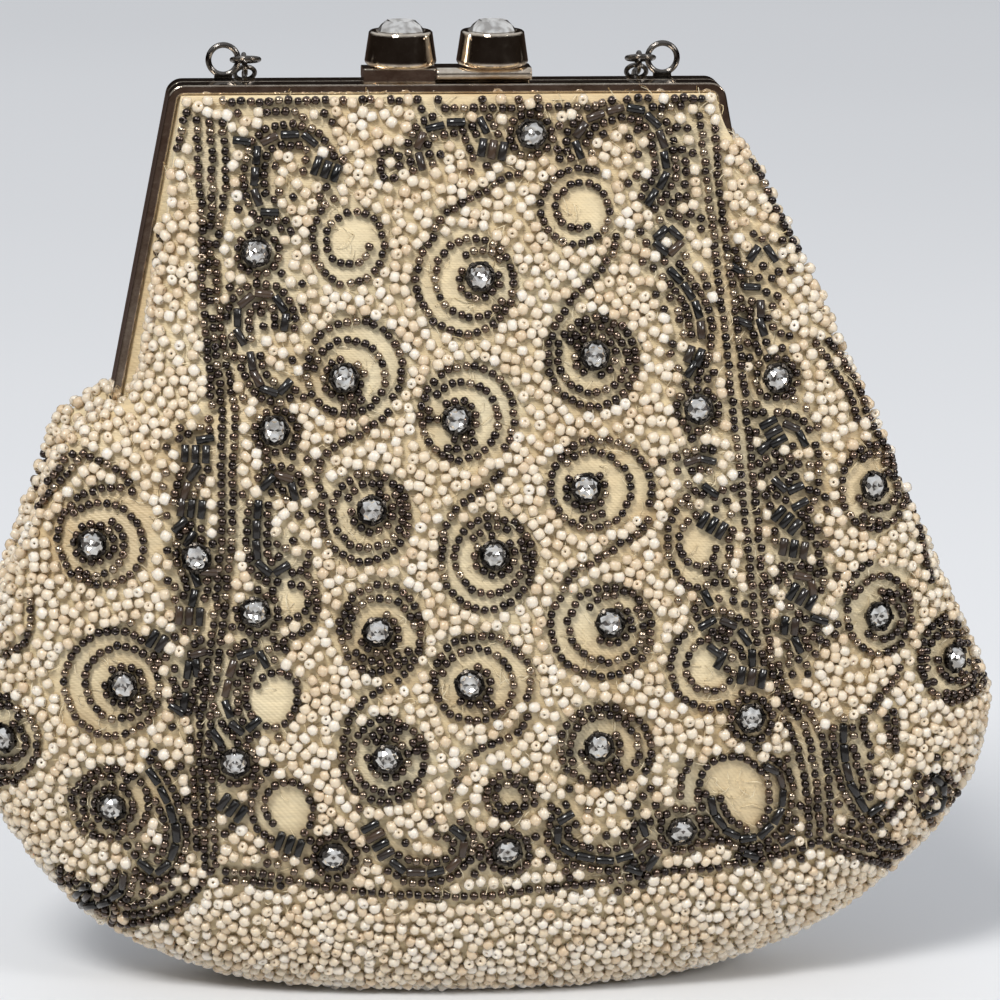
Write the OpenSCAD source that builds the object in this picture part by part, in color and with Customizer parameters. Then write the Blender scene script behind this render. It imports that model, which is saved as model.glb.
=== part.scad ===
// Beaded evening clutch with a hinged metal frame, twin knob clasp and carrying chain.
// The bag stands upright on its bottom panel, front towards -Y, frame on top.

/* [Frame] */
// Outer width of the frame's top bar
top_w = 80; // [70:1:90]
// Height from the hinge axis to the top of the frame
frame_drop = 50; // [44:1:56]
// Outer width of the frame at its hinge
foot_w = 99; // [92:1:106]
// Height of the hinge axis above the surface the bag stands on
hinge_h = 84; // [78:1:90]
// Depth of one frame half, front to back
half_depth = 3.8; // [3.2:0.1:4.6]
// Gap between the two frame halves when shut
mate_gap = 0.2; // [0.1:0.05:0.3]
// Thickness of the frame's sheet metal
sheet_t = 0.7; // [0.5:0.05:0.9]
// Height of the outer lip that clasps the cloth
lip_h = 1.3; // [1:0.1:2]
// Height of the inner wall where the halves meet
wall_h = 3; // [2.4:0.1:3.6]
// Outer radius of the frame's upper corners
corner_r = 2.4; // [1.5:0.1:4]
// Radius of the cord that wedges the cloth in the channel
wedge_r = 0.9; // [0.6:0.05:1]

/* [Hinge] */
// Radius of the round ears at the hinge
ear_r = 2.8; // [2.2:0.1:3.2]
// Height of the ear's neck above the round part
ear_neck = 0.7; // [0.5:0.1:1.5]
// Radius of the rivet's shank
rivet_r = 0.8; // [0.6:0.05:1.2]
// Radial clearance of the shank in the ears
rivet_play = 0.05; // [0.02:0.01:0.09]
// Radius of the rivet's heads
rivet_head_r = 1.7; // [1.4:0.1:2.1]
// Height of the rivet's domed head
rivet_head_h = 0.7; // [0.4:0.1:1]
// Side gap between the two ears, and between an ear and a head
ear_gap = 0.15; // [0.1:0.05:0.3]

/* [Clasp] */
// Distance between the two knobs
knob_pitch = 13.3; // [12.5:0.1:15]
// Widest diameter of a knob's cup, near its foot
cup_base_d = 10.4; // [9:0.1:11]
// Diameter of the cup's upper rim
cup_rim_d = 9.2; // [8:0.1:10]
// Diameter of the cup's foot
cup_foot_d = 7.4; // [6:0.1:8]
// Height of the cup
cup_h = 5.2; // [4:0.1:6.5]
// Height of the rounded foot of the cup
cup_foot_h = 0.9; // [0.5:0.1:1.4]
// Girdle diameter of the stone in the cup
knob_stone_d = 7; // [6:0.1:7.4]
// Height of the stone's crown above the cup's rim
knob_crown_h = 1.5; // [1:0.1:2]
// Depth of the stone's seat in the cup
seat_h = 0.8; // [0.5:0.1:1.2]
// Height of a clasp tongue above the frame
tongue_h = 2.1; // [1.6:0.1:2.6]
// Depth of a clasp tongue, front to back
tongue_depth = 5.2; // [4.4:0.1:6.4]
// Width of both clasp tongues together
tongue_w = 24.4; // [23:0.1:28]
// Place of the split between the tongues, left of the middle
tongue_split = 1.7; // [0:0.1:2.5]
// Lift of a tongue over the other frame half
tongue_lift = 0.3; // [0.2:0.05:0.5]

/* [Chain] */
// Distance between the two chain eyes
eye_pitch = 64; // [56:1:70]
// Ring radius of a chain eye, to the middle of its wire
eye_ring_r = 2.15; // [1.9:0.05:2.5]
// Wire radius of a chain eye
eye_wire_r = 0.43; // [0.35:0.01:0.5]
// Width of the eye's soldered foot
eye_foot_w = 2.6; // [2:0.1:3.2]
// Thickness of the eye's soldered foot
eye_foot_t = 0.9; // [0.7:0.1:1.1]
// Length of the foot on the back of the frame
eye_foot_l = 1.1; // [0.7:0.1:1.2]
// Ring radius of an end link
end_ring_r = 1.95; // [1.85:0.05:2.2]
// Ring radius of a chain link
link_ring_r = 1.45; // [1.3:0.05:1.6]
// Wire radius of the end links and the chain links
link_wire_r = 0.35; // [0.28:0.01:0.38]
// Play between neighbouring links
link_play = 0.18; // [0.08:0.02:0.24]
// Tilt of the end links, rear side down
end_tilt = 15; // [10:1:20]
// Length of the hanging chain between the two end links, laid out flat
chain_len = 230; // [200:2:260]

/* [Pouch] */
// Width of the pouch at its belly
belly_w = 149.5; // [135:0.5:160]
// Depth of the pouch at its belly
belly_d = 44; // [38:0.5:50]
// Height of the belly above the standing surface
belly_h = 44; // [36:1:50]
// Sideways lean of the filled pouch at its belly, to the bag's right
belly_lean = 5.6; // [0:0.2:7]
// Sideways lean at the surface the bag stands on
base_lean = 3.4; // [0:0.2:6]
// Width of the flat on which the bag stands
base_w = 34; // [26:1:44]
// Depth of the flat on which the bag stands
base_d = 14; // [12:0.5:18]
// Width of the cloth where it leaves the frame's top bar
neck_w = 79.8; // [78:0.2:82]
// Depth of the two cloth sides where they leave the frame's top bar
neck_d = 10.8; // [10:0.2:13]
// Distance from the front panel's seam to the side of the cloth at its top
seam_top_in = 2.4; // [1.6:0.2:6]
// Width of the front panel at its bottom
seam_low_w = 85; // [74:1:92]
// Height of the seam between the panels and the bottom panel
seam_h = 15; // [12:0.5:20]
// Height of the fold that gives way below the hinge when the mouth opens
fold_down = 12.2; // [9:0.1:14]
// Height of the fold above the hinge
fold_up = 14.5; // [10:0.1:18]

/* [Cloth] */
// Thickness of the beaded shell
cloth_t = 2.2; // [1.6:0.1:2.6]
// Thickness of the lining
lining_t = 0.5; // [0.3:0.1:0.8]
// Clearance between soft pieces and their neighbours
soft_gap = 0.3; // [0.2:0.05:0.4]

/* [Stones] */
// Girdle diameter of a rhinestone
gem_d = 3.5; // [2.8:0.1:4]
// Height of a rhinestone's crown
gem_h = 0.8; // [0.5:0.1:1.1]
// Outer diameter of a rhinestone's setting
setting_d = 4.4; // [3.8:0.1:5]
// Height of a rhinestone's setting
setting_h = 1.1; // [0.8:0.1:1.4]
// Depth of the setting's bed for its stone
bed_h = 0.4; // [0.3:0.1:0.6]

/* [Hidden] */
$fn = 48;

champagne = [0.80, 0.74, 0.62];
gunmetal = [0.20, 0.18, 0.17];
dark_silver = [0.42, 0.40, 0.38];
crystal = [0.86, 0.90, 0.92];
pearl_cloth = [0.90, 0.84, 0.72];
satin = [0.88, 0.80, 0.62];

// Overrun of every cut past the face it opens
over = 1;

// Heights that follow from the driving sizes
top_h = hinge_h + frame_drop;
leg_end_h = hinge_h + ear_r + ear_neck;
skin_top_h = top_h - lip_h - soft_gap;
fold_top_h = hinge_h + fold_up;
fold_low_h = hinge_h - fold_down;
gusset_top_h = hinge_h - ear_r - soft_gap;

// Slope of the legs, and the two parts of their outward normal
leg_slope = (foot_w - top_w) / 2 / frame_drop;
leg_len = sqrt(1 + leg_slope * leg_slope);
leg_nx = 1 / leg_len;
leg_nz = leg_slope / leg_len;

// Ears: the front one lies outside the rear one
ear_x = leg_x(leg_end_h, 0) - sheet_t;
rear_ear_x = ear_x - ear_gap - sheet_t;
rivet_in_x = rear_ear_x - ear_gap - sheet_t;

// Chain
eye_x = eye_pitch / 2;
eye_y = half_depth + eye_foot_t / 2;
eye_h = top_h + eye_ring_r + eye_wire_r;
end_shift = end_ring_r - link_wire_r - eye_wire_r - soft_gap / 3;
end_x = eye_x - eye_ring_r - end_shift;
swing_y = eye_y + end_ring_r * cos(end_tilt);
swing_h = eye_h - end_ring_r * sin(end_tilt);
link_pitch = 2 * (link_ring_r - link_wire_r) - link_play;
link_hang = link_ring_r - 2 * link_wire_r - link_play / 2;
// The chain lies over the rear stones, which stand this far off the cloth
stone_top = soft_gap + setting_h + gem_h;
link_off = link_ring_r + link_wire_r + stone_top + soft_gap;
chain_steps = 240;
chain_c = end_x / catenary_turn(chain_len / 2 / end_x, 3, 24);
// Direction in which the first link leaves the swing axis, below the horizontal
hang_angle = 50;
chain_top_y = swing_y + link_hang * cos(hang_angle);
chain_top_h = swing_h - link_hang * sin(hang_angle);
chain_low_h = chain_top_h - chain_c * (cosine_h(end_x / chain_c) - 1);

// Cloth: where it meets the lips, and how the belly swells
edge_y = half_depth + soft_gap;
swell = 1.4;
thin_share = 0.85;
// Least angle by which the cloth curls back at its sides, at the belly and below
least_curl = 4;
lining_edge_y = half_depth / 2;
lining_off = cloth_t + 2 * soft_gap;
// Distance from the lip to the lining's side, which passes the rivets' inner heads
lining_in = lip_x(hinge_h) - rivet_in_x + soft_gap;

// Grid steps along and up the cloth patches
panel_steps = 14;
wing_steps = 8;
// Share of a wing's steps that lies in front of its widest place
bend_share = 5 / 8;
ring_steps = 40;
row_h = 6.6;
low_rows = rows(seam_h, gusset_top_h);
// Width of a stone's table, and of the crown's facets round it
table_share = 0.6;

// Stones: share of the belly's half width, then share of the frame's height
field_share = [
    [0.03, 0.8], [-0.245, 0.695], [0.24, 0.716], [-0.035, 0.65], [-0.21, 0.556],
    [0.205, 0.577], [0.02, 0.508], [-0.215, 0.427], [0.235, 0.433], [-0.045, 0.37],
    [-0.21, 0.29], [0.2, 0.3]
];
border_share = [
    [-0.395, 0.826], [-0.385, 0.64], [-0.445, 0.448], [-0.5, 0.284], [-0.31, 0.178],
    [0.025, 0.183], [0.365, 0.2], [0.5, 0.324], [0.435, 0.657], [0.15, 0.948]
];
gusset_share = [
    [-0.55, 0.505], [-0.745, 0.518], [-0.705, 0.364], [-0.935, 0.296], [-0.735, 0.228],
    [0.595, 0.687], [0.772, 0.567], [0.768, 0.426], [0.924, 0.367]
];

function mix(a, b, t) = a + (b - a) * t;
function ease(t) = let (u = max(0, min(1, t))) u * u * (3 - 2 * u);
function arc_sinh(v) = ln(v + sqrt(v * v + 1));
function cosine_h(v) = (exp(v) + exp(-v)) / 2;
function catenary_turn(ratio, turn, rounds) =
    rounds == 0 ? turn : catenary_turn(ratio, arc_sinh(ratio * turn), rounds - 1);

// Outer side of a leg at height z, moved inwards by inset
function leg_x(z, inset) = top_w / 2 + (top_h - z) * leg_slope - inset / leg_nx;
function corner_x(inset) = top_w / 2 - inset * (1 - leg_nz) / leg_nx;

// Half width, half depth and height span of the cloth, off deep inside its outer face
function low_turn(z, off) = let (r = (belly_h - z) / (belly_h - off)) sqrt(max(0, 1 - r * r));
function up_share(z) = (z - belly_h) / (skin_top_h - belly_h);
function half_w(z, off) = z < belly_h
    ? mix(base_w / 2, belly_w / 2 - off, low_turn(z, off))
    : mix(belly_w / 2, neck_w / 2, up_share(z)) - off;
function half_d(z, off) = z < belly_h
    ? mix(base_d / 2, belly_d / 2 - off, low_turn(z, off))
    : mix(belly_d / 2, neck_d / 2, pow(min(1, up_share(z)), swell)) - off;

// Angle by which the cloth curls back from its widest place: hardly at the belly, up to
// the frame's lip at the hinge and above. Front and rear part by edge on each side.
function lip_x(z) = leg_x(z, lip_h + soft_gap);
function parted(z) = ease((z - belly_h) / (gusset_top_h - belly_h));
function curl(z) = mix(least_curl, acos(min(1, lip_x(z) / half_w(z, 0))), parted(z));
function edge(z) = mix(soft_gap, edge_y, parted(z));
function side_x(z, off) = half_w(z, off) * cos(curl(z));
function core_y(z) = let (s = sin(curl(z))) (edge(z) + half_d(z, 0) * s) / (1 + s);
function skin_t(z) = min(cloth_t, thin_share * (half_d(z, 0) - core_y(z)));
function seam_x(z) = mix(seam_low_w / 2, neck_w / 2 - seam_top_in, z / skin_top_h);
function seam_turn(z) = asin(seam_x(z) / half_w(z, 0));

// How far the pouch hangs to the right at height z
function lean(z) =
    let (line = belly_lean / (top_h - belly_h), low = max(0, 1 - z / belly_h))
    line * (top_h - z) - (line * top_h - base_lean) * low * low;
function lean_all(grid) = [for (row = grid) [for (p = row) [p[0] + lean(p[2]), p[1], p[2]]]];

// Point of the front side: turn 0 is its middle and 90 its widest place
function front_at(turn, z, off) = [
    half_w(z, off) * sin(turn),
    -core_y(z) - (half_d(z, off) - core_y(z)) * cos(turn),
    z
];
// The same from share 0, at the seam, to share 1, at the end of the curl
function side_at(share, z, off) =
    let (turn = share < bend_share
        ? mix(seam_turn(z), 90, share / bend_share)
        : 90 + curl(z) * (share - bend_share) / (1 - bend_share))
    front_at(turn, z, off);
// Closed ring of cloth at height z, the front from left to right and then the rear
function ring(z, off) =
    let (n = ring_steps / 2 - 1, end = 90 + curl(z),
         front = [for (i = [0:n]) front_at(mix(-end, end, i / n), z, off)])
    concat(front, [for (p = front) [-p[0], -p[1], z]]);
// Height at which the gusset gives way to the fold, lower towards the seam
function fold_edge(share) = mix(fold_low_h, gusset_top_h, share);
// Half width of the lining's upper parts, inside the gussets' tops too
function lining_x(z) = min(lip_x(z) - lining_in,
    side_x(min(z, gusset_top_h), cloth_t) - lean(z) - soft_gap);
// Point of the lining's upper parts, which end at the channel
function lining_at(share, z, off) =
    let (x = lining_x(z), deep = half_d(z, 0) - skin_t(z) - soft_gap)
    [x * share, -mix(lining_edge_y, max(deep, lining_edge_y), cos(90 * share)) + off, z];
// Front skin of the leaning cloth at x, z
function skin_y(x, z) = let (share = (x - lean(z)) / half_w(z, 0))
    -core_y(z) - (half_d(z, 0) - core_y(z)) * sqrt(max(0, 1 - share * share));

// Faces of a closed slab between an outer and an inner grid of points. All end walls are
// split along the same diagonal, so that slabs that share a row or a column fit each other
function quad(a, b, c, d) = [[a, b, c], [a, c, d]];
function slab_faces(nu, nv) =
    let (n = (nu + 1) * (nv + 1), id = function (side, i, j) side * n + i * (nv + 1) + j)
    [for (f = concat(
        [for (i = [0:nu - 1], j = [0:nv - 1])
            each quad(id(0, i, j), id(0, i, j + 1), id(0, i + 1, j + 1), id(0, i + 1, j))],
        [for (i = [0:nu - 1], j = [0:nv - 1])
            each quad(id(1, i, j), id(1, i + 1, j), id(1, i + 1, j + 1), id(1, i, j + 1))],
        [for (i = [0:nu - 1])
            each quad(id(0, i, 0), id(0, i + 1, 0), id(1, i + 1, 0), id(1, i, 0))],
        [for (i = [0:nu - 1])
            each quad(id(0, i, nv), id(1, i, nv), id(1, i + 1, nv), id(0, i + 1, nv))],
        [for (j = [0:nv - 1])
            each quad(id(0, 0, j), id(1, 0, j), id(1, 0, j + 1), id(0, 0, j + 1))],
        [for (j = [0:nv - 1])
            each quad(id(0, nu, j), id(0, nu, j + 1), id(1, nu, j + 1), id(1, nu, j))]
    )) f];

module slab(outer, inner) {
    points = [for (grid = [outer, inner], column = grid) each column];
    polyhedron(points, slab_faces(len(outer) - 1, len(outer[0]) - 1), convexity = 4);
}

// The same for leaning cloth, on the right side as given or flipped to the left
module cloth(outer, inner, side) {
    function flip(grid) = side > 0 ? grid
        : [for (i = [len(grid) - 1:-1:0]) [for (p = grid[i]) [-p[0], p[1], p[2]]]];
    slab(lean_all(flip(outer)), lean_all(flip(inner)));
}

function rows(low, high) = max(2, round((high - low) / row_h));
function ladder(low, high, n) = [for (j = [0:n]) mix(low, high, j / n)];

// Front panel between its two seams, with its rows at the heights given
module panel(heights) {
    function face(k) = [for (i = [0:panel_steps])
        [for (z = heights)
            front_at(seam_turn(z) * (2 * i / panel_steps - 1), z, k * skin_t(z))]];
    cloth(face(0), face(1), 1);
}

// Wing between the seam and the frame's leg, lower by drop at the seam
module wing(low, high, drop, side) {
    n = rows(low - drop, high);
    function face(k) = [for (i = [0:wing_steps])
        [for (j = [0:n])
            let (z = mix(low - drop * (1 - i / wing_steps), high, j / n), off = k * skin_t(z))
            side_at(i / wing_steps, z, off)]];
    cloth(face(0), face(1), side);
}

// Gusset from the front seam round the side to the rear seam
module gusset(side) {
    function column(i, top, off) = [for (z = ladder(seam_h, top, low_rows))
        side_at(i / wing_steps, z, off)];
    function face(off) = concat(
        [for (i = [0:wing_steps]) column(i, fold_edge(i / wing_steps), off)],
        [for (i = [wing_steps:-1:0])
            [for (p = column(i, gusset_top_h, off)) [p[0], -p[1], p[2]]]]
    );
    cloth(face(0), face(cloth_t), side);
}

// Open bowl of cloth from the standing surface up to height rim, between two depths
module bowl(rim, off, wall) {
    low_n = 6;
    high_n = rim > belly_h ? rows(belly_h, rim) : 0;
    turn_h = min(rim, belly_h);
    function turn_z(j, d) =
        let (top = acos(1 - (turn_h - d) / (belly_h - d)))
        d + (belly_h - d) * (1 - cos(top * j / low_n));
    function level(j, d) = j <= low_n ? turn_z(j, d) : mix(belly_h, rim, (j - low_n) / high_n);
    n = low_n + high_n;
    m = ring_steps;
    function grid(d) = lean_all([for (j = [0:n]) ring(level(j, d), d)]);
    outer = [for (row = grid(off)) each row];
    inner = [for (row = grid(off + wall)) each row];
    function id(side, j, i) = side * (n + 1) * m + j * m + i % m;
    centre = 2 * (n + 1) * m;
    faces = concat(
        [for (j = [0:n - 1], i = [0:m - 1])
            each quad(id(0, j, i), id(0, j + 1, i), id(0, j + 1, i + 1), id(0, j, i + 1))],
        [for (j = [0:n - 1], i = [0:m - 1])
            each quad(id(1, j, i), id(1, j, i + 1), id(1, j + 1, i + 1), id(1, j + 1, i))],
        [for (i = [0:m - 1])
            each quad(id(0, n, i), id(1, n, i), id(1, n, i + 1), id(0, n, i + 1))],
        [for (i = [0:m - 1]) [id(0, 0, i), id(0, 0, i + 1), centre]],
        [for (i = [0:m - 1]) [id(1, 0, i + 1), id(1, 0, i), centre + 1]]
    );
    middle = lean_all([[[0, 0, off], [0, 0, off + wall]]])[0];
    polyhedron(concat(outer, inner, middle), faces, convexity = 6);
}

// Upper part of the lining, from height low to height high
module lining_slab(low, high) {
    n = rows(low, high);
    function face(off) = [for (i = [0:panel_steps])
        [for (j = [0:n]) lining_at(2 * i / panel_steps - 1, mix(low, high, j / n), off)]];
    slab(face(0), face(lining_t));
}

// Solid outline of the frame in its own plane, moved inwards by inset
module outline(inset) {
    r = max(0, corner_r - inset);
    pull = max(corner_r, inset);
    cx = corner_x(pull);
    cz = top_h - pull;
    foot = leg_x(leg_end_h, inset);
    polygon([
        [-foot, leg_end_h], [-cx - r * leg_nx, cz + r * leg_nz], [-cx, cz + r],
        [cx, cz + r], [cx + r * leg_nx, cz + r * leg_nz], [foot, leg_end_h]
    ]);
    if (r > 0) {
        for (side = [-1, 1]) translate([side * cx, cz]) circle(r);
    }
}

// Band along the frame from its outer side to depth deep, from y = near to y = far
module band(deep, near, far) {
    translate([0, far, 0]) rotate([90, 0, 0]) linear_extrude(far - near) difference() {
        outline(0);
        outline(deep);
        translate([-foot_w, leg_end_h - over]) square([2 * foot_w, over]);
    }
}

// One ear, seen along X, with its neck running up to height high
module ear(x, high) {
    translate([x, 0, 0]) rotate([90, 0, 90]) linear_extrude(sheet_t) difference() {
        union() {
            translate([0, hinge_h]) circle(ear_r);
            polygon([
                [-ear_r, hinge_h], [ear_r, hinge_h],
                [half_depth, high], [mate_gap / 2, high], [mate_gap / 2, leg_end_h]
            ]);
        }
        translate([0, hinge_h]) circle(rivet_r + rivet_play);
    }
}

// One frame half on the rear side: web, outer lip, inner wall and two ears
module frame_half(ear_place, ear_high) {
    near = mate_gap / 2;
    color(champagne) union() {
        band(sheet_t, near, half_depth);
        band(lip_h, half_depth - sheet_t, half_depth);
        band(wall_h, near, near + sheet_t);
        for (side = [0, 1]) mirror([side, 0, 0]) ear(ear_place, ear_high);
    }
}

module frame_front() mirror([0, 1, 0]) frame_half(ear_x, leg_end_h + sheet_t);

module frame_rear() frame_half(rear_ear_x, leg_end_h + wall_h);

// Cord in the channel of the rear frame half
module wedge_cord() {
    y = (mate_gap / 2 + half_depth) / 2;
    inset = sheet_t + wedge_r + soft_gap / 3;
    cx = corner_x(inset);
    cz = top_h - inset;
    run = (cz - leg_end_h - wall_h - ear_neck) * leg_len;
    color(satin) union() {
        translate([-cx, y, cz]) rotate([0, 90, 0]) cylinder(h = 2 * cx, r = wedge_r);
        for (side = [-1, 1]) translate([side * cx, y, cz]) {
            sphere(wedge_r);
            rotate([0, side * (180 - atan(leg_slope)), 0]) cylinder(h = run, r = wedge_r);
        }
    }
}

module front_frame_cord() mirror([0, 1, 0]) wedge_cord();

module rear_frame_cord() wedge_cord();

// Rivet through both ears on the right, with a domed head outside and a flat one inside
module hinge_rivet() {
    start = rivet_in_x;
    shoulder = ear_x + sheet_t + ear_gap;
    dome_r = (rivet_head_r * rivet_head_r + rivet_head_h * rivet_head_h) / 2 / rivet_head_h;
    color(dark_silver) translate([0, 0, hinge_h]) rotate([0, 90, 0]) union() {
        translate([0, 0, start]) cylinder(h = shoulder - start + rivet_head_h / 2, r = rivet_r);
        translate([0, 0, start]) cylinder(h = sheet_t, r = rivet_head_r);
        intersection() {
            translate([0, 0, shoulder + rivet_head_h - dome_r]) sphere(dome_r);
            translate([0, 0, shoulder]) cylinder(h = rivet_head_h + over, r = rivet_head_r + over);
        }
    }
}

// Tongue that stands on the rear half and reaches over the front one, from x = low to high
module tongue(low, high) {
    round_r = (tongue_h - tongue_lift) / 2;
    far = tongue_depth / 2;
    near = -far + round_r;
    color(champagne) translate([low, 0, top_h]) rotate([90, 0, 90]) linear_extrude(high - low) {
        translate([near, tongue_lift + round_r]) circle(round_r);
        polygon([
            [near, tongue_lift], [mate_gap / 2, tongue_lift], [mate_gap / 2, 0], [far, 0],
            [far, tongue_h], [near, tongue_h]
        ]);
    }
}

module clasp_tongue_left() {
    mirror([0, 1, 0]) tongue(-tongue_w / 2, -tongue_split - mate_gap / 2);
}

module clasp_tongue_right() {
    tongue(-tongue_split + mate_gap / 2, tongue_w / 2);
}

// Turned cup with a rounded foot, slanting sides and a stepped bed for its stone
module knob_cup(side) {
    foot = cup_foot_d / 2;
    base = cup_base_d / 2;
    rim = cup_rim_d / 2;
    bed = knob_stone_d / 2 + soft_gap / 3;
    curve = [for (a = [0:15:90])
        [mix(foot, base, sin(a)), cup_foot_h * (1 - cos(a))]];
    color(champagne) translate([side * knob_pitch / 2, 0, top_h + tongue_h])
        rotate_extrude() polygon(concat(
            [[0, 0]], curve,
            [[rim, cup_h - seat_h / 4], [rim - seat_h / 4, cup_h], [bed, cup_h],
             [bed, cup_h - seat_h], [0, cup_h - seat_h]]
        ));
}

// Faceted stone: flat back, straight girdle, eight-sided crown turned against its table
module gem(girdle_r, girdle_h, crown_h) {
    n = 8;
    function level(r, z, shift) = [for (i = [0:n - 1])
        [r * cos(360 * (i + shift) / n), r * sin(360 * (i + shift) / n), z]];
    points = concat(level(girdle_r, 0, 0), level(girdle_r, girdle_h, 0),
        level(girdle_r * table_share, girdle_h + crown_h, 1 / 2));
    side = [for (i = [0:n - 1]) let (k = (i + 1) % n) [i, n + i, n + k, k]];
    crown = [for (i = [0:n - 1]) let (k = (i + 1) % n)
        each [[n + i, 2 * n + i, n + k], [n + k, 2 * n + i, 2 * n + k]]];
    table = [[for (i = [0:n - 1]) 2 * n + (n - 1 - i)]];
    back = [[for (i = [0:n - 1]) i]];
    polyhedron(points, concat(side, crown, table, back));
}

module knob_stone(side) {
    color(crystal)
        translate([side * knob_pitch / 2, 0, top_h + tongue_h + cup_h - seat_h])
            gem(knob_stone_d / 2, seat_h, knob_crown_h);
}

// Ring of round wire whose axis runs along Z
module wire_ring(ring_r, wire_r) {
    rotate_extrude() translate([ring_r, 0]) circle(wire_r);
}

// Eye that is soldered to the back of the rear frame half
module chain_eye(side) {
    sunk = eye_wire_r * 3 / 2;
    color(gunmetal) translate([side * eye_x, 0, 0]) union() {
        translate([0, eye_y, eye_h]) rotate([90, 0, 0]) wire_ring(eye_ring_r, eye_wire_r);
        translate([-eye_foot_w / 2, half_depth, top_h - eye_foot_l])
            cube([eye_foot_w, eye_foot_t, eye_foot_l + sunk]);
    }
}

module end_link(side) {
    color(gunmetal) translate([side * end_x, eye_y, eye_h]) rotate([-end_tilt, 0, 0])
        wire_ring(end_ring_r, link_wire_r);
}

// Middle of the chain at run s along its U, which is measured from its lowest place
function chain_at(s) =
    let (x = chain_c * arc_sinh(s / chain_c),
         z = chain_low_h + sqrt(chain_c * chain_c + s * s) - chain_c,
         rise = max(0, z - skin_top_h) / (chain_top_h - skin_top_h),
         rest_y = -skin_y(x, min(z, skin_top_h)) + link_off)
    [x, mix(rest_y, chain_top_y, min(1, rise)), z];

// True length of the laid chain from its left end, paired with the run s there
function chain_table(i, length) =
    let (s = chain_len * (i / chain_steps - 1 / 2), step = chain_len / chain_steps)
    i > chain_steps ? [] : concat([[length, s]],
        chain_table(i + 1, length + norm(chain_at(s + step) - chain_at(s))));
chain_lay = chain_table(0, 0);
chain_true_len = chain_lay[chain_steps][0];
link_count = 2 * ceil(chain_true_len / link_pitch / 2) + 1;

// Every second link of the chain: from 0 those on edge, from 1 those that lie flat
module links(first) {
    span = chain_true_len / (link_count - 1);
    color(gunmetal) for (i = [first:2:link_count - 1]) {
        here = chain_at(lookup(i * span, chain_lay));
        ahead = chain_at(lookup((i + 1 / 2) * span, chain_lay))
            - chain_at(lookup((i - 1 / 2) * span, chain_lay));
        slant = atan2(ahead[1], norm([ahead[0], ahead[2]]));
        course = atan2(ahead[2], ahead[0]);
        translate(here) rotate([0, -course, 0]) rotate([0, 0, slant]) rotate([90 * first, 0, 0])
            wire_ring(link_ring_r, link_wire_r);
    }
}

module chain_edge_links() links(0);

module chain_flat_links() links(1);

module front_panel_upper() {
    low = fold_top_h + soft_gap;
    color(pearl_cloth) panel(ladder(low, skin_top_h, rows(low, skin_top_h)));
}

module front_panel_fold() {
    color(pearl_cloth) panel(ladder(fold_low_h, fold_top_h, rows(fold_low_h, fold_top_h)));
}

module front_panel_lower() {
    color(pearl_cloth) panel(ladder(seam_h, fold_low_h, low_rows));
}

module front_wing(side) {
    color(pearl_cloth) wing(fold_top_h + soft_gap, skin_top_h, 0, side);
}

module gusset_fold(side) {
    color(pearl_cloth) wing(gusset_top_h, fold_top_h, gusset_top_h - fold_low_h, side);
}

module side_gusset(side) {
    color(pearl_cloth) gusset(side);
}

module rear_wing(side) {
    color(pearl_cloth) mirror([0, 1, 0]) wing(gusset_top_h, skin_top_h, 0, side);
}

module rear_panel() {
    low = [for (z = ladder(seam_h, gusset_top_h, low_rows)) if (z < gusset_top_h) z];
    high = ladder(gusset_top_h, skin_top_h, rows(gusset_top_h, skin_top_h));
    color(pearl_cloth) mirror([0, 1, 0]) panel(concat(low, high));
}

module bottom_panel() {
    color(pearl_cloth) bowl(seam_h, 0, cloth_t);
}

module lining_front() {
    color(satin) lining_slab(fold_top_h + soft_gap, skin_top_h - wall_h);
}

module lining_fold() {
    color(satin) lining_slab(fold_low_h, fold_top_h);
}

module lining_rear() {
    color(satin) mirror([0, 1, 0]) lining_slab(fold_low_h, skin_top_h - wall_h);
}

module lining_pouch() {
    color(satin) bowl(fold_low_h - soft_gap, lining_off, lining_t);
}

// Places of the stones in real sizes, kept clear of the fold's two edges
function beside(z, line) =
    let (reach = setting_d / 2 + soft_gap) abs(z - line) < reach
    ? line + (z < line ? -reach : reach) : z;
function real(list) = [for (p = list)
    [p[0] * belly_w / 2, beside(beside(p[1] * top_h, fold_top_h), fold_low_h)]];
front_stones = real(concat(field_share, border_share, gusset_share));

// Puts its children on the leaning front side's skin at x, z, facing outwards
module on_skin(x, z) {
    step = setting_d / 2;
    at_x = x + lean(z);
    turn = atan((skin_y(at_x + step, z) - skin_y(at_x - step, z)) / (2 * step));
    tip = atan((skin_y(at_x, z + step) - skin_y(at_x, z - step)) / (2 * step) * cos(turn));
    translate([at_x, skin_y(at_x, z), z]) rotate([0, 0, turn])
        rotate([90 - tip, 0, 0]) translate([0, 0, soft_gap]) children();
}

module setting() {
    difference() {
        cylinder(h = setting_h, r = setting_d / 2);
        translate([0, 0, setting_h - bed_h]) cylinder(h = setting_h, r = gem_d / 2 + soft_gap / 6);
    }
}

module settings(list) {
    color(dark_silver) for (p = list) on_skin(p[0], p[1]) setting();
}

module stones(list) {
    color(crystal) for (p = list) on_skin(p[0], p[1])
        translate([0, 0, setting_h - bed_h]) gem(gem_d / 2, bed_h, gem_h);
}

upper_stones = [for (p = front_stones) if (p[1] > fold_top_h) p];
fold_stones = [for (p = front_stones) if (p[1] > fold_low_h && p[1] <= fold_top_h) p];
lower_stones = [for (p = front_stones) if (p[1] <= fold_low_h) p];

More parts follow.
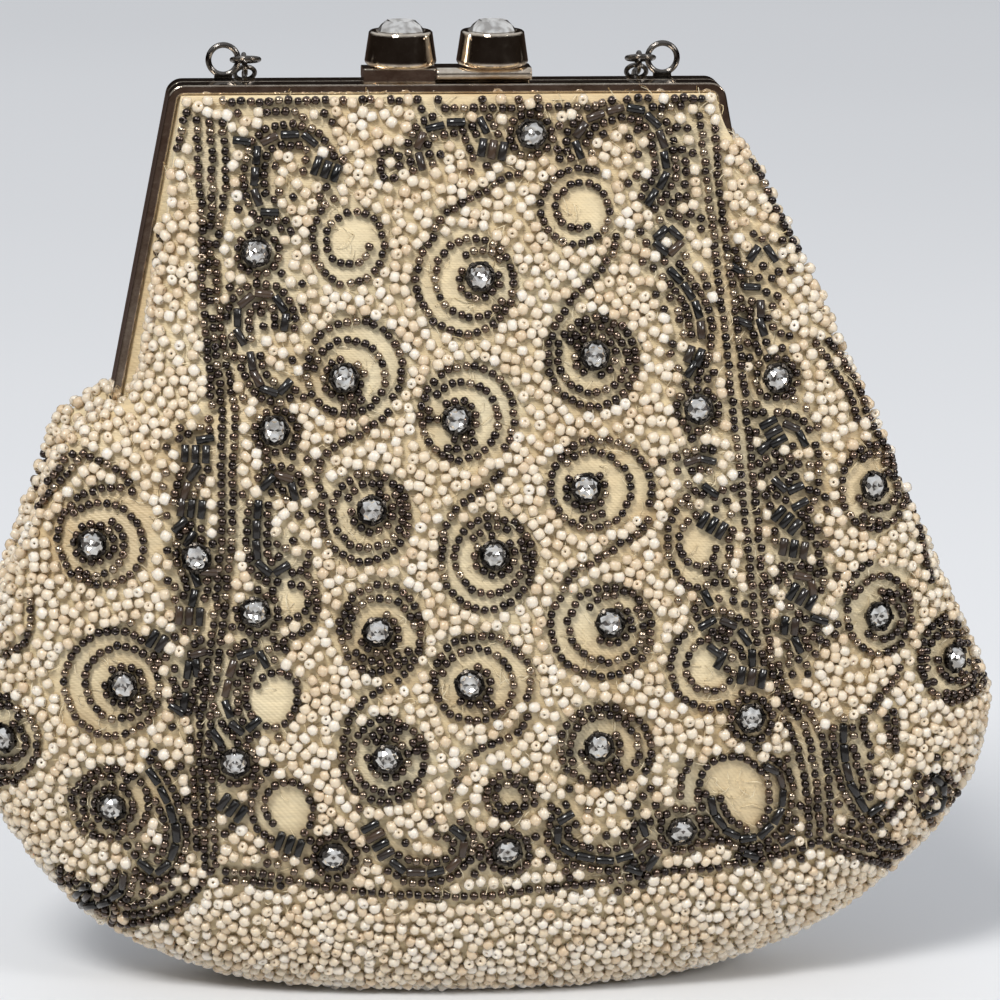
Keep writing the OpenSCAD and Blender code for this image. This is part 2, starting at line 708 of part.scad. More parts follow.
frame_front();
frame_rear();
front_frame_cord();
rear_frame_cord();
mirror([1, 0, 0]) hinge_rivet();  // hinge_rivet_left
hinge_rivet();  // hinge_rivet_right
clasp_tongue_left();
clasp_tongue_right();
knob_cup(-1);  // knob_cup_left
knob_cup(1);  // knob_cup_right
knob_stone(-1);  // knob_stone_left
knob_stone(1);  // knob_stone_right
chain_eye(-1);  // chain_eye_left
chain_eye(1);  // chain_eye_right
end_link(-1);  // end_link_left
end_link(1);  // end_link_right
chain_edge_links();
chain_flat_links();
front_panel_upper();
front_panel_fold();
front_panel_lower();
front_wing(-1);  // front_wing_left
front_wing(1);  // front_wing_right
gusset_fold(-1);  // gusset_fold_left
gusset_fold(1);  // gusset_fold_right
side_gusset(-1);  // gusset_left
side_gusset(1);  // gusset_right
rear_wing(-1);  // rear_wing_left
rear_wing(1);  // rear_wing_right
rear_panel();
bottom_panel();
lining_front();
lining_fold();
lining_rear();
lining_pouch();
settings(upper_stones);  // settings_upper
stones(upper_stones);  // stones_upper
settings(fold_stones);  // settings_fold
stones(fold_stones);  // stones_fold
settings(lower_stones);  // settings_lower
stones(lower_stones);  // stones_lower
mirror([0, 1, 0]) settings(front_stones);  // settings_rear
mirror([0, 1, 0]) stones(front_stones);  // stones_rear
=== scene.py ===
import math

import bpy
import numpy as np
from mathutils import Matrix, Vector, kdtree
from mathutils.bvhtree import BVHTree

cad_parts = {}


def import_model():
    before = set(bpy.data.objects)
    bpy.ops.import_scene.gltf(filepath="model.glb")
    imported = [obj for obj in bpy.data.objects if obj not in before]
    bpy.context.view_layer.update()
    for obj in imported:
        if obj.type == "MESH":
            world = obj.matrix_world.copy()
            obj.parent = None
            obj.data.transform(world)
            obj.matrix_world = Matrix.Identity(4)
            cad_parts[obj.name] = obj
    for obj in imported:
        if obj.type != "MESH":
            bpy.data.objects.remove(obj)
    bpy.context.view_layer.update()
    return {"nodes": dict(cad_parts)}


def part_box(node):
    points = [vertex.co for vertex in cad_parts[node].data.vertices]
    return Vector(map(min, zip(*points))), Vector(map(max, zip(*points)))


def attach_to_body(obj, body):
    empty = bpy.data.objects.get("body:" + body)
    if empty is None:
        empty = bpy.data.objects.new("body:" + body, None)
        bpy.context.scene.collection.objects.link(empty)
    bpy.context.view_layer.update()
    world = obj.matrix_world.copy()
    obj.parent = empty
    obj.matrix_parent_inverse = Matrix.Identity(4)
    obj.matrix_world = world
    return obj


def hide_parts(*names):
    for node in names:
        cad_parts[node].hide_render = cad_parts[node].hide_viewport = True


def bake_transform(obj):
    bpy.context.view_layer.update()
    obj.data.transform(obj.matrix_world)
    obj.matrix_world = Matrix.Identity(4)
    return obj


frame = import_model()
MM = 0.001
rng = np.random.default_rng(11)

# Driving sizes, the same as the CAD source's
TOP_W, FRAME_DROP, FOOT_W, HINGE_H = 80.0, 50.0, 99.0, 84.0
HALF_DEPTH, MATE_GAP, SHEET_T, LIP_H, WALL_H = 3.8, 0.2, 0.7, 1.3, 3.0
EAR_R, EAR_NECK, WEDGE_R = 2.8, 0.7, 0.9
BELLY_W, BELLY_D, BELLY_H = 149.5, 44.0, 44.0
BELLY_LEAN, BASE_LEAN = 5.6, 3.4
BASE_W, BASE_D, NECK_W, NECK_D = 34.0, 14.0, 79.8, 10.8
SEAM_TOP_IN, SEAM_LOW_W, SEAM_H = 2.4, 85.0, 15.0
FOLD_DOWN, FOLD_UP = 12.2, 14.5
CLOTH_T, SOFT_GAP = 2.2, 0.3
SWELL, LEAST_CURL = 1.4, 4.0
GEM_D, GEM_H, SETTING_D, SETTING_H, BED_H = 3.5, 0.8, 4.4, 1.1, 0.4

TOP_H = HINGE_H + FRAME_DROP
SKIN_TOP_H = TOP_H - LIP_H - SOFT_GAP
GUSSET_TOP_H = HINGE_H - EAR_R - SOFT_GAP
LEG_END_H = HINGE_H + EAR_R + EAR_NECK
FOLD_LOW_H, FOLD_TOP_H = HINGE_H - FOLD_DOWN, HINGE_H + FOLD_UP
LEG_SLOPE = (FOOT_W - TOP_W) / 2 / FRAME_DROP
LEG_NX = 1 / math.hypot(1, LEG_SLOPE)

# Bead sizes: diameter, and length along the hole
PEARL_D, PEARL_L = 1.66, 1.4
SEED_D, SEED_L, SEED_PITCH = 1.32, 1.05, 1.34
BUGLE_D, BUGLE_L, BUGLE_PITCH = 1.26, 2.65, 2.95
PEARL_HOLE = 0.22
BEAD_LIFT = 0.62
BASE_LIFT = 1.5
PIECE_FACES = 190_000

# Camera, solved from the frame's corners, the knobs, the rings and the outline in the photograph
CAM_AZIMUTH, CAM_ELEVATION, CAM_ROLL = -6.0, 12.0, 0.56
CAM_DISTANCE, CAM_TARGET = 900.0, (8.42, 0.0, 71.9)
CAM_FOCAL_PX, PHOTO_PX, SENSOR_W = 6131.0, 1000.0, 36.0


# Small tools

def mix(a, b, t):
    return a + (b - a) * t


def ease(t):
    u = np.clip(t, 0, 1)
    return u * u * (3 - 2 * u)


def unit(v):
    return v / np.maximum(np.linalg.norm(v, axis=-1, keepdims=True), 1e-9)


def runs(line):
    """Distance of every point of a line from its start."""
    return np.concatenate([[0], np.cumsum(np.linalg.norm(np.diff(line, axis=0), axis=1))])


def points_at(line, at):
    return np.stack([np.interp(at, runs(line), column) for column in line.T], -1)


# The pouch's surface, by the CAD source's formulas

def leg_x(z, inset):
    return TOP_W / 2 + (TOP_H - z) * LEG_SLOPE - inset / LEG_NX


def lip_x(z):
    return leg_x(z, LIP_H + SOFT_GAP)


def up_share(z):
    return np.clip((z - BELLY_H) / (SKIN_TOP_H - BELLY_H), 0, 1)


def low_turn(z, off):
    r = np.clip((BELLY_H - z) / (BELLY_H - off), 0, 1)
    return np.sqrt(1 - r * r)


def half_w(z, off=0.0):
    low = mix(BASE_W / 2, BELLY_W / 2 - off, low_turn(z, off))
    return np.where(z < BELLY_H, low, mix(BELLY_W / 2, NECK_W / 2, up_share(z)) - off)


def half_d(z, off=0.0):
    low = mix(BASE_D / 2, BELLY_D / 2 - off, low_turn(z, off))
    high = mix(BELLY_D / 2, NECK_D / 2, up_share(z) ** SWELL) - off
    return np.where(z < BELLY_H, low, high)


def parted(z):
    return ease((z - BELLY_H) / (GUSSET_TOP_H - BELLY_H))


def curl(z):
    at_lip = np.degrees(np.arccos(np.minimum(1, lip_x(z) / half_w(z))))
    return mix(LEAST_CURL, at_lip, parted(z))


def edge(z):
    return mix(SOFT_GAP, HALF_DEPTH + SOFT_GAP, parted(z))


def core_y(z):
    s = np.sin(np.radians(curl(z)))
    return (edge(z) + half_d(z) * s) / (1 + s)


def lean(z):
    line = BELLY_LEAN / (TOP_H - BELLY_H)
    low = np.maximum(0, 1 - z / BELLY_H)
    return line * (TOP_H - z) - (line * TOP_H - BASE_LEAN) * low * low


def seam_turn(z):
    x = mix(SEAM_LOW_W / 2, NECK_W / 2 - SEAM_TOP_IN, z / SKIN_TOP_H)
    return np.degrees(np.arcsin(np.minimum(1, x / half_w(z))))


def front_at(turn, z, off=0.0):
    """Points of the front skin: turn 0 is the middle and 90 the widest place."""
    t = np.radians(turn)
    x = half_w(z, off) * np.sin(t) + lean(z)
    y = -core_y(z) - (half_d(z, off) - core_y(z)) * np.cos(t)
    return np.stack([x, y, z + 0 * x], -1)


def grid_normals(points):
    """Outward normals of a grid whose first index runs to +X and whose second runs up."""
    du = np.gradient(points, axis=0)
    dv = np.gradient(points, axis=1)
    return unit(np.cross(du, dv))


# The satin of the front side as a grid, base first, with a hem that goes in behind the lip

COLUMNS, BASE_ROWS, LOW_ROWS, HIGH_ROWS = 168, 4, 26, 96
HEM_IN, HEM_DEEP = 0.5, 1.3
HEM_GAP, HEM_REACH, HEM_RISE, HEM_TOP_GAP = 0.12, 0.5, 0.45, 0.15
TUCK_LEFT_LOW, TUCK_LEFT_RUN = 82.0, 11.0
TUCK_RIGHT_LOW, TUCK_RIGHT_RUN = 120.0, 10.0


def satin_rows():
    """(share of the base's size, height) of every row."""
    base = [(k / BASE_ROWS, 0.0) for k in range(BASE_ROWS)]
    low = [(1.0, BELLY_H * (1 - math.cos(math.pi / 2 * j / LOW_ROWS))) for j in range(LOW_ROWS)]
    high = [(1.0, mix(BELLY_H, SKIN_TOP_H, j / HIGH_ROWS)) for j in range(HIGH_ROWS + 1)]
    return base + low + high


GROOVE_DEPTH, GROOVE_AWAY, GROOVE_WIDTH = 1.1, 3.2, 2.4
GROOVE_END_H, GROOVE_FADE = 100, 25


def seam_groove(turn, z):
    """How far the cloth is drawn in beside the seams, where it folds."""
    away = (np.abs(turn) - seam_turn(z)) * np.radians(half_w(z))
    depth = GROOVE_DEPTH * ease(z / SEAM_H) * (1 - ease((z - GROOVE_END_H) / GROOVE_FADE))
    return depth * np.exp(-((away - GROOVE_AWAY) / GROOVE_WIDTH) ** 2)


PUFF, PUFF_START_H, PUFF_END_H, PUFF_FADE = 0.28, 20, 112, 18


def puff(x, z):
    """Soft unevenness of the filled pouch, from waves whose lengths have no common measure."""
    wave = np.sin(x / 9 + z / 17) * np.sin(z / 13 - x / 23) + 0.6 * np.sin(x / 5.3 - z / 7.7)
    return PUFF * wave * ease(z / PUFF_START_H) * (1 - ease((z - PUFF_END_H) / PUFF_FADE))


def tuck_share(left, z):
    """How far the cloth is gathered in: far down on the left, just under the corner on the right."""
    return np.where(left, ease((z - TUCK_LEFT_LOW) / TUCK_LEFT_RUN),
                    ease((z - TUCK_RIGHT_LOW) / TUCK_RIGHT_RUN))


def tucked(points, turn, z):
    """The cloth gathered in beside the legs."""
    inside = lip_x(z) * np.sin(np.radians(np.minimum(np.abs(turn), 90)))
    target = np.sign(turn) * inside + lean(z)
    return np.stack([mix(points[..., 0], target, tuck_share(turn < 0, z)),
                     points[..., 1], points[..., 2]], -1)


def satin_grid():
    rows = satin_rows()
    z = np.array([r[1] for r in rows])
    share = np.array([r[0] for r in rows])
    run = np.linspace(-1, 1, COLUMNS + 1)
    turn = run[:, None] * (90 + curl(z))[None, :]
    zz = np.broadcast_to(z, turn.shape)
    points = tucked(front_at(turn, zz), turn, zz)
    middle = np.stack([lean(zz), 0 * zz, zz], -1)
    points = middle + (points - middle) * share[None, :, None]
    normals = grid_normals(points)
    flat = share[None, :] * np.ones_like(turn) < 1
    normals[flat] = (0, 0, -1)
    shift = puff(points[..., 0], zz) - seam_groove(turn, zz)
    points = points + normals * shift[..., None]
    points[..., 2] = np.sqrt(points[..., 2] ** 2 + BASE_LIFT ** 2)
    return points, normals


SATIN, NORMALS = satin_grid()


def hemmed(points):
    """The satin with two more columns at each side and two more rows on top, tucked in the frame."""
    z = points[0, :, 2]
    open_share = ease((z - GUSSET_TOP_H + 2) / 3)[:, None]
    sides = []
    for side, column in ((-1, points[0]), (1, points[-1])):
        half = column * [1, 0.5, 1]
        joined = column * [1, 0, 1]
        lip = np.stack([side * (lip_x(z) - HEM_GAP), 0 * z - HALF_DEPTH + HEM_IN, z], -1)
        deep = np.stack([side * (lip_x(z) + HEM_REACH), 0 * z - HALF_DEPTH + HEM_DEEP, z], -1)
        sides.append([mix(half, lip, open_share), mix(joined, deep, open_share)])
    grid = np.concatenate([[sides[0][1]], [sides[0][0]], points, [sides[1][0]], [sides[1][1]]])
    top = grid[:, -1]
    first = np.stack([top[:, 0] * 0.998, np.maximum(top[:, 1], -HALF_DEPTH + HEM_IN),
                      0 * top[:, 2] + TOP_H - LIP_H - HEM_TOP_GAP], -1)
    second = np.stack([top[:, 0], np.maximum(top[:, 1], -HALF_DEPTH + HEM_DEEP),
                       0 * top[:, 2] + TOP_H - LIP_H + HEM_RISE], -1)
    return np.concatenate([grid, first[:, None], second[:, None]], axis=1)


# Photograph to cloth

def camera_axes():
    a, e, r = map(math.radians, (CAM_AZIMUTH, CAM_ELEVATION, CAM_ROLL))
    back = np.array([math.sin(a) * math.cos(e), -math.cos(a) * math.cos(e), math.sin(e)])
    right = np.array([math.cos(a), math.sin(a), 0.0])
    up = np.cross(back, right)
    return (right * math.cos(r) + up * math.sin(r), up * math.cos(r) - right * math.sin(r), back)


def camera_place():
    return np.array(CAM_TARGET) + camera_axes()[2] * CAM_DISTANCE


def grid_faces(nu, nv):
    """Quads of a grid of nu x nv points, stored column by column, facing outwards."""
    i, j = np.meshgrid(np.arange(nu - 1), np.arange(nv - 1), indexing="ij")
    a = (i * nv + j).ravel()
    return np.stack([a, a + nv, a + nv + 1, a + 1], -1)


FLAT_SATIN = SATIN.reshape(-1, 3)
FLAT_NORMALS = NORMALS.reshape(-1, 3)
SATIN_TREE = BVHTree.FromPolygons([Vector(p) for p in FLAT_SATIN],
                                  grid_faces(*SATIN.shape[:2]).tolist())
NORMAL_TREE = kdtree.KDTree(len(FLAT_SATIN))
for index, point in enumerate(FLAT_SATIN):
    NORMAL_TREE.insert(point, index)
NORMAL_TREE.balance()


def on_cloth(pixel):
    """The cloth's point behind a pixel, or the nearest one where the ray goes past the cloth."""
    right, up, back = camera_axes()
    x = (pixel[0] - PHOTO_PX / 2) / CAM_FOCAL_PX
    y = (PHOTO_PX / 2 - pixel[1]) / CAM_FOCAL_PX
    eye = camera_place()
    ray = unit(right * x + up * y - back)
    hit = SATIN_TREE.ray_cast(Vector(eye), Vector(ray))[0]
    if hit is None:
        beside = eye + ray * CAM_DISTANCE
        hit = SATIN_TREE.find_nearest(Vector(beside))[0]
    return np.array(hit)


def normal_near(point):
    return FLAT_NORMALS[NORMAL_TREE.find(point)[1]]


def smooth_line(points, steps=10):
    """Catmull-Rom curve through points."""
    p = np.array(points, float)
    p = np.vstack([2 * p[0] - p[1], p, 2 * p[-1] - p[-2]])
    out = []
    for k in range(1, len(p) - 2):
        for t in np.arange(steps) / steps:
            out.append(0.5 * (2 * p[k] + (p[k + 1] - p[k - 1]) * t
                              + (2 * p[k - 1] - 5 * p[k] + 4 * p[k + 1] - p[k + 2]) * t * t
                              + (3 * p[k] - p[k - 1] - 3 * p[k + 1] + p[k + 2]) * t ** 3))
    return np.array(out + [p[-2]])


# Motifs, in pixels. All spirals run inwards counter-clockwise from an outer end, where a tail may join

SPIRAL_TURNS, STONE_RING_PX, SPIRAL_STOP_PX = 2.0, 19.5, 8.0
LONE_RING_PX, SPIRAL_STEPS, DRIFT_POWER = 21.0, 90, 0.8
CLUSTER_PITCH_PX, BUGLE_HALF_PX, SCROLL_SIDE_PX = 10.5, 9, 10.0
# (ring centre, ring radii, stone, start angle, tail points from far to near)
FIELD_SPIRALS = [
    ((464, 284), (51, 57), (478, 280), 128, [(512, 172), (488, 190), (462, 203), (441, 218)]),
    ((354, 366), (50, 53), (343, 379), -42, []),
    ((594, 361), (47, 50), (594, 356), 160, [(617, 232), (608, 261), (580, 290), (557, 321)]),
    ((467, 414), (49, 55), (457, 420), -44, []),
    ((365, 516), (45, 50), (372, 512), 158, [(392, 409), (362, 433), (330, 449), (317, 474)]),
    ((600, 484), (52, 50), (585, 489), -28, []),
    ((488, 562), (48, 53), (494, 556), 150, [(503, 471), (490, 484), (460, 506), (443, 530)]),
    ((379, 630), (43, 51), (379, 633), -40, []),
    ((602, 631), (54, 50), (611, 624), 150, [(651, 516), (635, 534), (606, 554), (573, 574)]),
    ((481, 677), (51, 47), (471, 685), -32, []),
    ((384, 757), (43, 47), (388, 757), 152, [(413, 663), (393, 683), (364, 699), (349, 721)]),
    ((603, 746), (49, 43), (600, 747), -38, []),
]
# Spirals without a stone: (centre, radii, start angle, turns)
BARE_SPIRALS = [
    ((351, 243), (41, 50), 110, 1.7),
    ((578, 210), (43, 42), 60, 1.7),
    ((508, 797), (27, 27), -20, 2.0),
    ((700, 545), (36, 54), 92, 1.75),
    ((712, 668), (46, 48), 92, 1.75),
    ((293, 598), (26, 38), -100, 1.6),
    ((275, 693), (31, 48), 60, 1.3),
    ((285, 806), (36, 42), 100, 1.4),
    ((728, 792), (50, 56), 140, 1.25),
]
GUSSET_SPIRALS = [
    ((110, 538), (51, 52), (95, 543), 60, [(88, 455), (100, 462), (120, 470)]),
    ((110, 687), (54, 60), (125, 685), 20, []),
    ((-2, 741), (44, 45), (8, 740), 70, []),
    ((108, 802), (42, 37), (115, 805), -60, []),
    ((871, 489), (32, 44), (875, 490), 80, []),
    ((876, 607), (32, 48), (880, 618), 100, []),
    ((950, 660), (34, 44), (955, 662), 100, []),
]
LONE_STONES = [(258, 253), (276, 432), (258, 613), (236, 762), (335, 855), (508, 850),
               (680, 828), (750, 718), (697, 410), (530, 135), (775, 378)]
# Rows of seed beads
SEED_ROWS = [
    [(495, 741), (467, 758), (454, 782), (448, 800)],
    [(528, 712), (524, 724), (510, 735), (495, 741)],
    [(652, 782), (645, 793), (638, 798)],
    [(218, 102), (300, 101), (440, 99.5), (560, 98.5), (706, 98)],
    [(188, 108), (181, 138), (174, 165), (169, 200), (165, 225), (161, 250)],
    [(262, 112), (282, 111), (300, 112)],
    [(440, 109), (520, 108), (600, 107), (684, 107)],
    [(196, 116), (199, 170), (203, 230), (203, 290), (208, 350), (212, 410)],
    [(209, 118), (213, 175), (210, 235), (210, 290), (216, 350), (222, 410), (222, 470)],
    [(222, 118), (226, 178), (218, 240), (217, 290), (225, 350), (234, 410), (233, 470)],
    [(222, 470), (221, 550), (214, 620), (207, 680), (200, 740), (204, 800), (206, 868)],
    [(233, 470), (231, 550), (224, 620), (216, 680), (210, 740), (214, 800), (216, 866)],
    [(204, 660), (196, 740), (195, 790), (198, 850)],
    [(698, 112), (704, 165), (712, 235), (722, 320), (731, 400), (740, 480)],
    [(714, 116), (716, 165), (724, 235), (735, 320), (744, 400), (752, 480)],
    [(740, 480), (748, 560), (755, 640), (764, 700), (790, 730), (803, 780), (808, 836)],
    [(752, 480), (760, 560), (767, 640), (776, 690), (801, 722), (814, 775), (818, 834)],
    [(765, 560), (772, 640), (785, 690), (812, 718), (826, 770), (828, 830)],
    [(212, 868), (260, 872), (310, 882), (380, 891), (460, 894), (520, 889), (600, 880),
     (660, 870), (720, 864), (780, 852), (822, 838)],
    [(222, 878), (270, 882), (330, 890)],
    [(728, 116), (744, 150), (760, 182), (780, 223), (796, 254)],
    [(824, 337), (842, 365), (858, 395), (866, 420), (880, 445), (893, 462)],
    [(812, 340), (832, 370), (848, 398), (856, 424)],
    [(905, 500), (920, 535), (930, 562), (944, 584)],
    [(88, 450), (58, 486), (34, 522), (22, 552), (12, 572)],
    [(76, 450), (46, 490), (24, 524), (12, 552)],
    [(32, 596), (33, 620), (26, 642), (6, 655)],
    [(62, 868), (68, 890), (84, 908), (118, 920), (158, 916), (186, 900), (206, 878)],
    [(70, 878), (86, 900), (118, 911), (155, 908), (182, 892)],
    [(78, 886), (98, 904), (124, 904), (150, 898), (176, 882)],
    [(822, 842), (850, 852), (890, 862), (918, 854), (934, 836), (948, 806), (952, 778)],
    [(830, 834), (855, 843), (890, 852), (912, 846)],
    [(838, 826), (862, 834), (892, 842), (906, 838)],
    [(899, 663), (891, 680), (872, 704), (862, 718), (863, 736), (869, 746)],
    [(891, 706), (893, 722), (892, 738), (894, 752)],
    [(884, 712), (886, 730), (885, 748)],
    [(815, 440), (818, 470), (814, 496), (806, 517), (816, 550), (822, 576), (815, 603)],
    [(851, 743), (858, 772), (864, 790)],
    [(400, 160), (392, 150), (383, 152), (378, 165), (384, 178), (398, 178)],
]
# Scrolls of bugle beads, each with a row of seeds outside and one inside
BUGLE_SCROLLS = [
    [(280, 210), (266, 212), (257, 198), (255, 176), (258, 152), (270, 139), (288, 135),
     (305, 137), (318, 149), (327, 166)],
    [(244, 346), (239, 330), (239, 313), (249, 298), (264, 294), (278, 301), (285, 317), (284, 332)],
    [(251, 352), (254, 372), (266, 389), (279, 392), (291, 380)],
    [(262, 489), (274, 477), (288, 479), (296, 500)],
    [(259, 499), (257, 525), (257, 550), (264, 568), (277, 571), (290, 562)],
    [(268, 668), (259, 653), (243, 654), (231, 670), (227, 695), (231, 717), (243, 730), (262, 716)],
    [(148, 766), (160, 784), (170, 806), (177, 832), (172, 854), (158, 869), (138, 857)],
    [(126, 870), (121, 888), (104, 900), (84, 899), (71, 884)],
    [(390, 858), (405, 868), (425, 870), (446, 867), (460, 854), (463, 837), (450, 825)],
    [(574, 811), (560, 820), (558, 838), (571, 851), (590, 856), (611, 858), (631, 851), (644, 838),
     (640, 817)],
    [(709, 795), (714, 812), (727, 829), (744, 836), (762, 830), (776, 814), (781, 793), (777, 774),
     (762, 763)],
    [(424, 172), (418, 152), (424, 133), (440, 126), (466, 121)],
    [(478, 118), (487, 134), (493, 152), (496, 170)],
    [(582, 160), (576, 142), (586, 122), (604, 113), (626, 108), (645, 114), (658, 130),
     (663, 152), (664, 176), (652, 196), (644, 206)],
    [(667, 268), (686, 290), (697, 312), (700, 338), (694, 362), (684, 378)],
    [(696, 628), (716, 620), (736, 628), (748, 646), (752, 668)],
    [(684, 463), (698, 459), (714, 462)],
    [(762, 300), (758, 318), (764, 336)],
    [(766, 430), (782, 424), (797, 432), (803, 447)],
    [(772, 478), (786, 490), (802, 484)],
    [(778, 520), (792, 508), (806, 500)],
    [(782, 590), (794, 576), (808, 580), (812, 596)],
    [(841, 722), (842, 745), (845, 768), (853, 790), (866, 808), (882, 802)],
    [(930, 772), (940, 788), (935, 806), (920, 813)],
    [(188, 446), (198, 462), (190, 480), (184, 500), (190, 520)],
    [(196, 530), (186, 548), (190, 566), (198, 584), (192, 604), (190, 628)],
    [(786, 612), (792, 634), (800, 654)],
]
# Small clusters of parallel bugles: (centre, direction in degrees, number)
BUGLE_CLUSTERS = [
    ((233, 806), 55, 3), ((378, 838), 30, 4), ((326, 170), 70, 3), ((492, 150), 80, 3),
    ((711, 525), 60, 3), ((290, 842), 70, 3), ((750, 676), 80, 3), ((693, 356), 70, 2),
    ((196, 454), 88, 3), ((192, 508), 84, 3), ((194, 560), 60, 3), ((190, 615), 86, 3),
    ((772, 432), 30, 3), ((785, 520), 50, 3), ((792, 548), 80, 3), ((800, 596), 60, 3),
    ((788, 625), 84, 2), ((752, 254), 56, 1), ((769, 254), -56, 1), ((158, 640), 60, 2),
]
CROSS_AT, CROSS_ARM_PX = (667, 241), 10.5
# Bands that are filled with dark beads: (middle line, half width), in pixels
DARK_BANDS = [
    ([(664, 296), (686, 318), (700, 352), (694, 384)], 11),
    ([(738, 268), (746, 300), (754, 334), (760, 372)], 10),
    ([(712, 498), (722, 530), (716, 570), (708, 610), (722, 640), (748, 690)], 12),
    ([(768, 424), (782, 470), (784, 520), (794, 570), (802, 620), (800, 664)], 16),
    ([(742, 420), (750, 500), (758, 580), (766, 650), (788, 706), (806, 760), (812, 830)], 8),
    ([(706, 800), (726, 838), (756, 850), (784, 826), (790, 790)], 9),
    ([(196, 440), (190, 500), (196, 560), (205, 600), (207, 640), (198, 672), (182, 702)], 13),
    ([(214, 655), (206, 700), (208, 745), (206, 800), (212, 860)], 10),
    ([(556, 818), (566, 856), (600, 868), (640, 862), (660, 840)], 7),
    ([(390, 850), (420, 878), (456, 872), (474, 846)], 7),
    ([(640, 104), (664, 124), (676, 160), (674, 196)], 9),
    ([(246, 146), (243, 180), (252, 216)], 7),
]


def spiral_line(centre, radii, stone, start, turns, inner):
    """Pixels of a spiral whose middle drifts from the ring's centre to the stone."""
    s = np.linspace(0, 1, SPIRAL_STEPS)
    angle = np.radians(start + 360 * turns * s)
    mean = (radii[0] + radii[1]) / 2
    size = mix(1.0, inner / mean, s)
    middle = mix(np.array(centre, float)[None], np.array(stone, float)[None], (s ** DRIFT_POWER)[:, None])
    stretch = mix(np.array(radii, float)[None] / mean, 1.0, s[:, None])
    return middle + np.stack([np.cos(angle), -np.sin(angle)], -1) * stretch * (size * mean)[:, None]


def ring_line(centre, radius):
    angle = np.radians(np.linspace(0, 360, 49))
    return np.array(centre, float) + radius * np.stack([np.cos(angle), np.sin(angle)], -1)


# Stones: their places come from the CAD's settings

def stone_places(node):
    """Centre and outward axis of each setting in a CAD node, from its separate solids."""
    mesh = frame["nodes"][node].data
    points = np.array([v.co for v in mesh.vertices], float) / MM
    parent = list(range(len(points)))

    def root(a):
        while parent[a] != a:
            parent[a] = parent[parent[a]]
            a = parent[a]
        return a

    first = {}
    for k, p in enumerate(points):
        key = tuple(np.round(p, 3))
        parent[k] = root(first.setdefault(key, k))
    for face in mesh.polygons:
        for k in face.vertices[1:]:
            parent[root(k)] = root(face.vertices[0])
    groups = {}
    for k in range(len(points)):
        groups.setdefault(root(k), []).append(k)
    places = []
    for members in groups.values():
        cloud = points[members]
        centre = (cloud.min(0) + cloud.max(0)) / 2
        axis = np.linalg.svd(np.unique(np.round(cloud, 4), axis=0) - centre)[2][2]
        axis *= np.sign(axis[1] * centre[1]) or 1
        spread = (cloud - centre) @ axis
        centre = centre + axis * (spread.max() + spread.min()) / 2
        places.append((centre, axis))
    return places


FRONT_SETTINGS = ["settings_upper", "settings_fold", "settings_lower"]
front_stones = [place for node in FRONT_SETTINGS for place in stone_places(node)]

# Placed beads, in the front's space: seeds and bugles hold (point, axis, normal).
# plain_discs holds (centre, radius) in pixels

seeds, bugles, plain_discs = [], [], []


class Spots:
    """Places that are taken, for quick questions about what lies near."""

    def __init__(self, cell):
        self.cell, self.cells = cell, {}

    def key(self, point):
        return tuple(int(v // self.cell) for v in point)

    def add(self, point):
        self.cells.setdefault(self.key(point), []).append(tuple(point))

    def near(self, point, gap):
        a, b, c = self.key(point)
        steps = (-1, 0, 1)
        return any(math.dist(q, point) < gap for dx in steps for dy in steps for dz in steps
                   for q in self.cells.get((a + dx, b + dy, c + dz), ()))


BEAD_CELL, DARK_CELL = 1.8, 4.6
taken, dark_spots = Spots(BEAD_CELL), Spots(DARK_CELL)
SEED_GAP, SEED_TO_BUGLE, STONE_CLEAR = 1.02, 1.12, SETTING_D / 2 + 0.45
ROW_LIFT, CLUSTER_LIFT = 0.1, 0.2
HEM_CLEAR, HEM_CLEAR_TOP = 0.7, 0.25


def in_frame(point):
    """Whether a bead here would lie on the frame's lip."""
    x, _, z = point
    if z > SKIN_TOP_H - HEM_CLEAR_TOP:
        return True
    return tuck_share(x < 0, z) > 0.6 and abs(x) > lip_x(z) - HEM_CLEAR


def cloth_line(pixels):
    return np.array([on_cloth(p) for p in pixels])


def walk(line, pitch):
    """Points and directions at even distances along a line in space."""
    length = runs(line)[-1]
    count = max(1, int(round(length / pitch)))
    at = (np.arange(count) + 0.5) * length / count
    return points_at(line, at), unit(points_at(line, at + 0.2) - points_at(line, at - 0.2))


SHIFT_ALONG, SHIFT_ASIDE, TURN_ASIDE, TURN_UP, ON_END_SHARE = 0.07, 0.1, 0.28, 0.12, 0.1


def lay_seeds(pixels):
    """A row of seeds, each a little out of line, and a few of them on end."""
    for place, along in zip(*walk(cloth_line(pixels), SEED_PITCH)):
        normal = normal_near(place)
        aside = np.cross(normal, along)
        place = place + along * rng.normal() * SHIFT_ALONG + aside * rng.normal() * SHIFT_ASIDE
        spot = place + normal * BEAD_LIFT
        if taken.near(spot, SEED_GAP) or in_frame(spot) or near_stone(spot):
            continue
        taken.add(spot)
        turned = unit(along + aside * rng.normal() * TURN_ASIDE + normal * rng.normal() * TURN_UP)
        if rng.random() < ON_END_SHARE:
            turned = unit(normal + along * rng.normal() * 0.4)
        seeds.append((spot, turned, normal))


def lay_bugle(place, along, lift=ROW_LIFT):
    normal = normal_near(place)
    spot = place + normal * (BEAD_LIFT + lift)
    if in_frame(spot) or near_stone(spot) or taken.near(spot, SEED_TO_BUGLE):
        return
    for share in (-0.36, -0.12, 0.12, 0.36):
        taken.add(spot + along * share * BUGLE_L)
    dark_spots.add(spot)
    bugles.append((spot, along, normal))


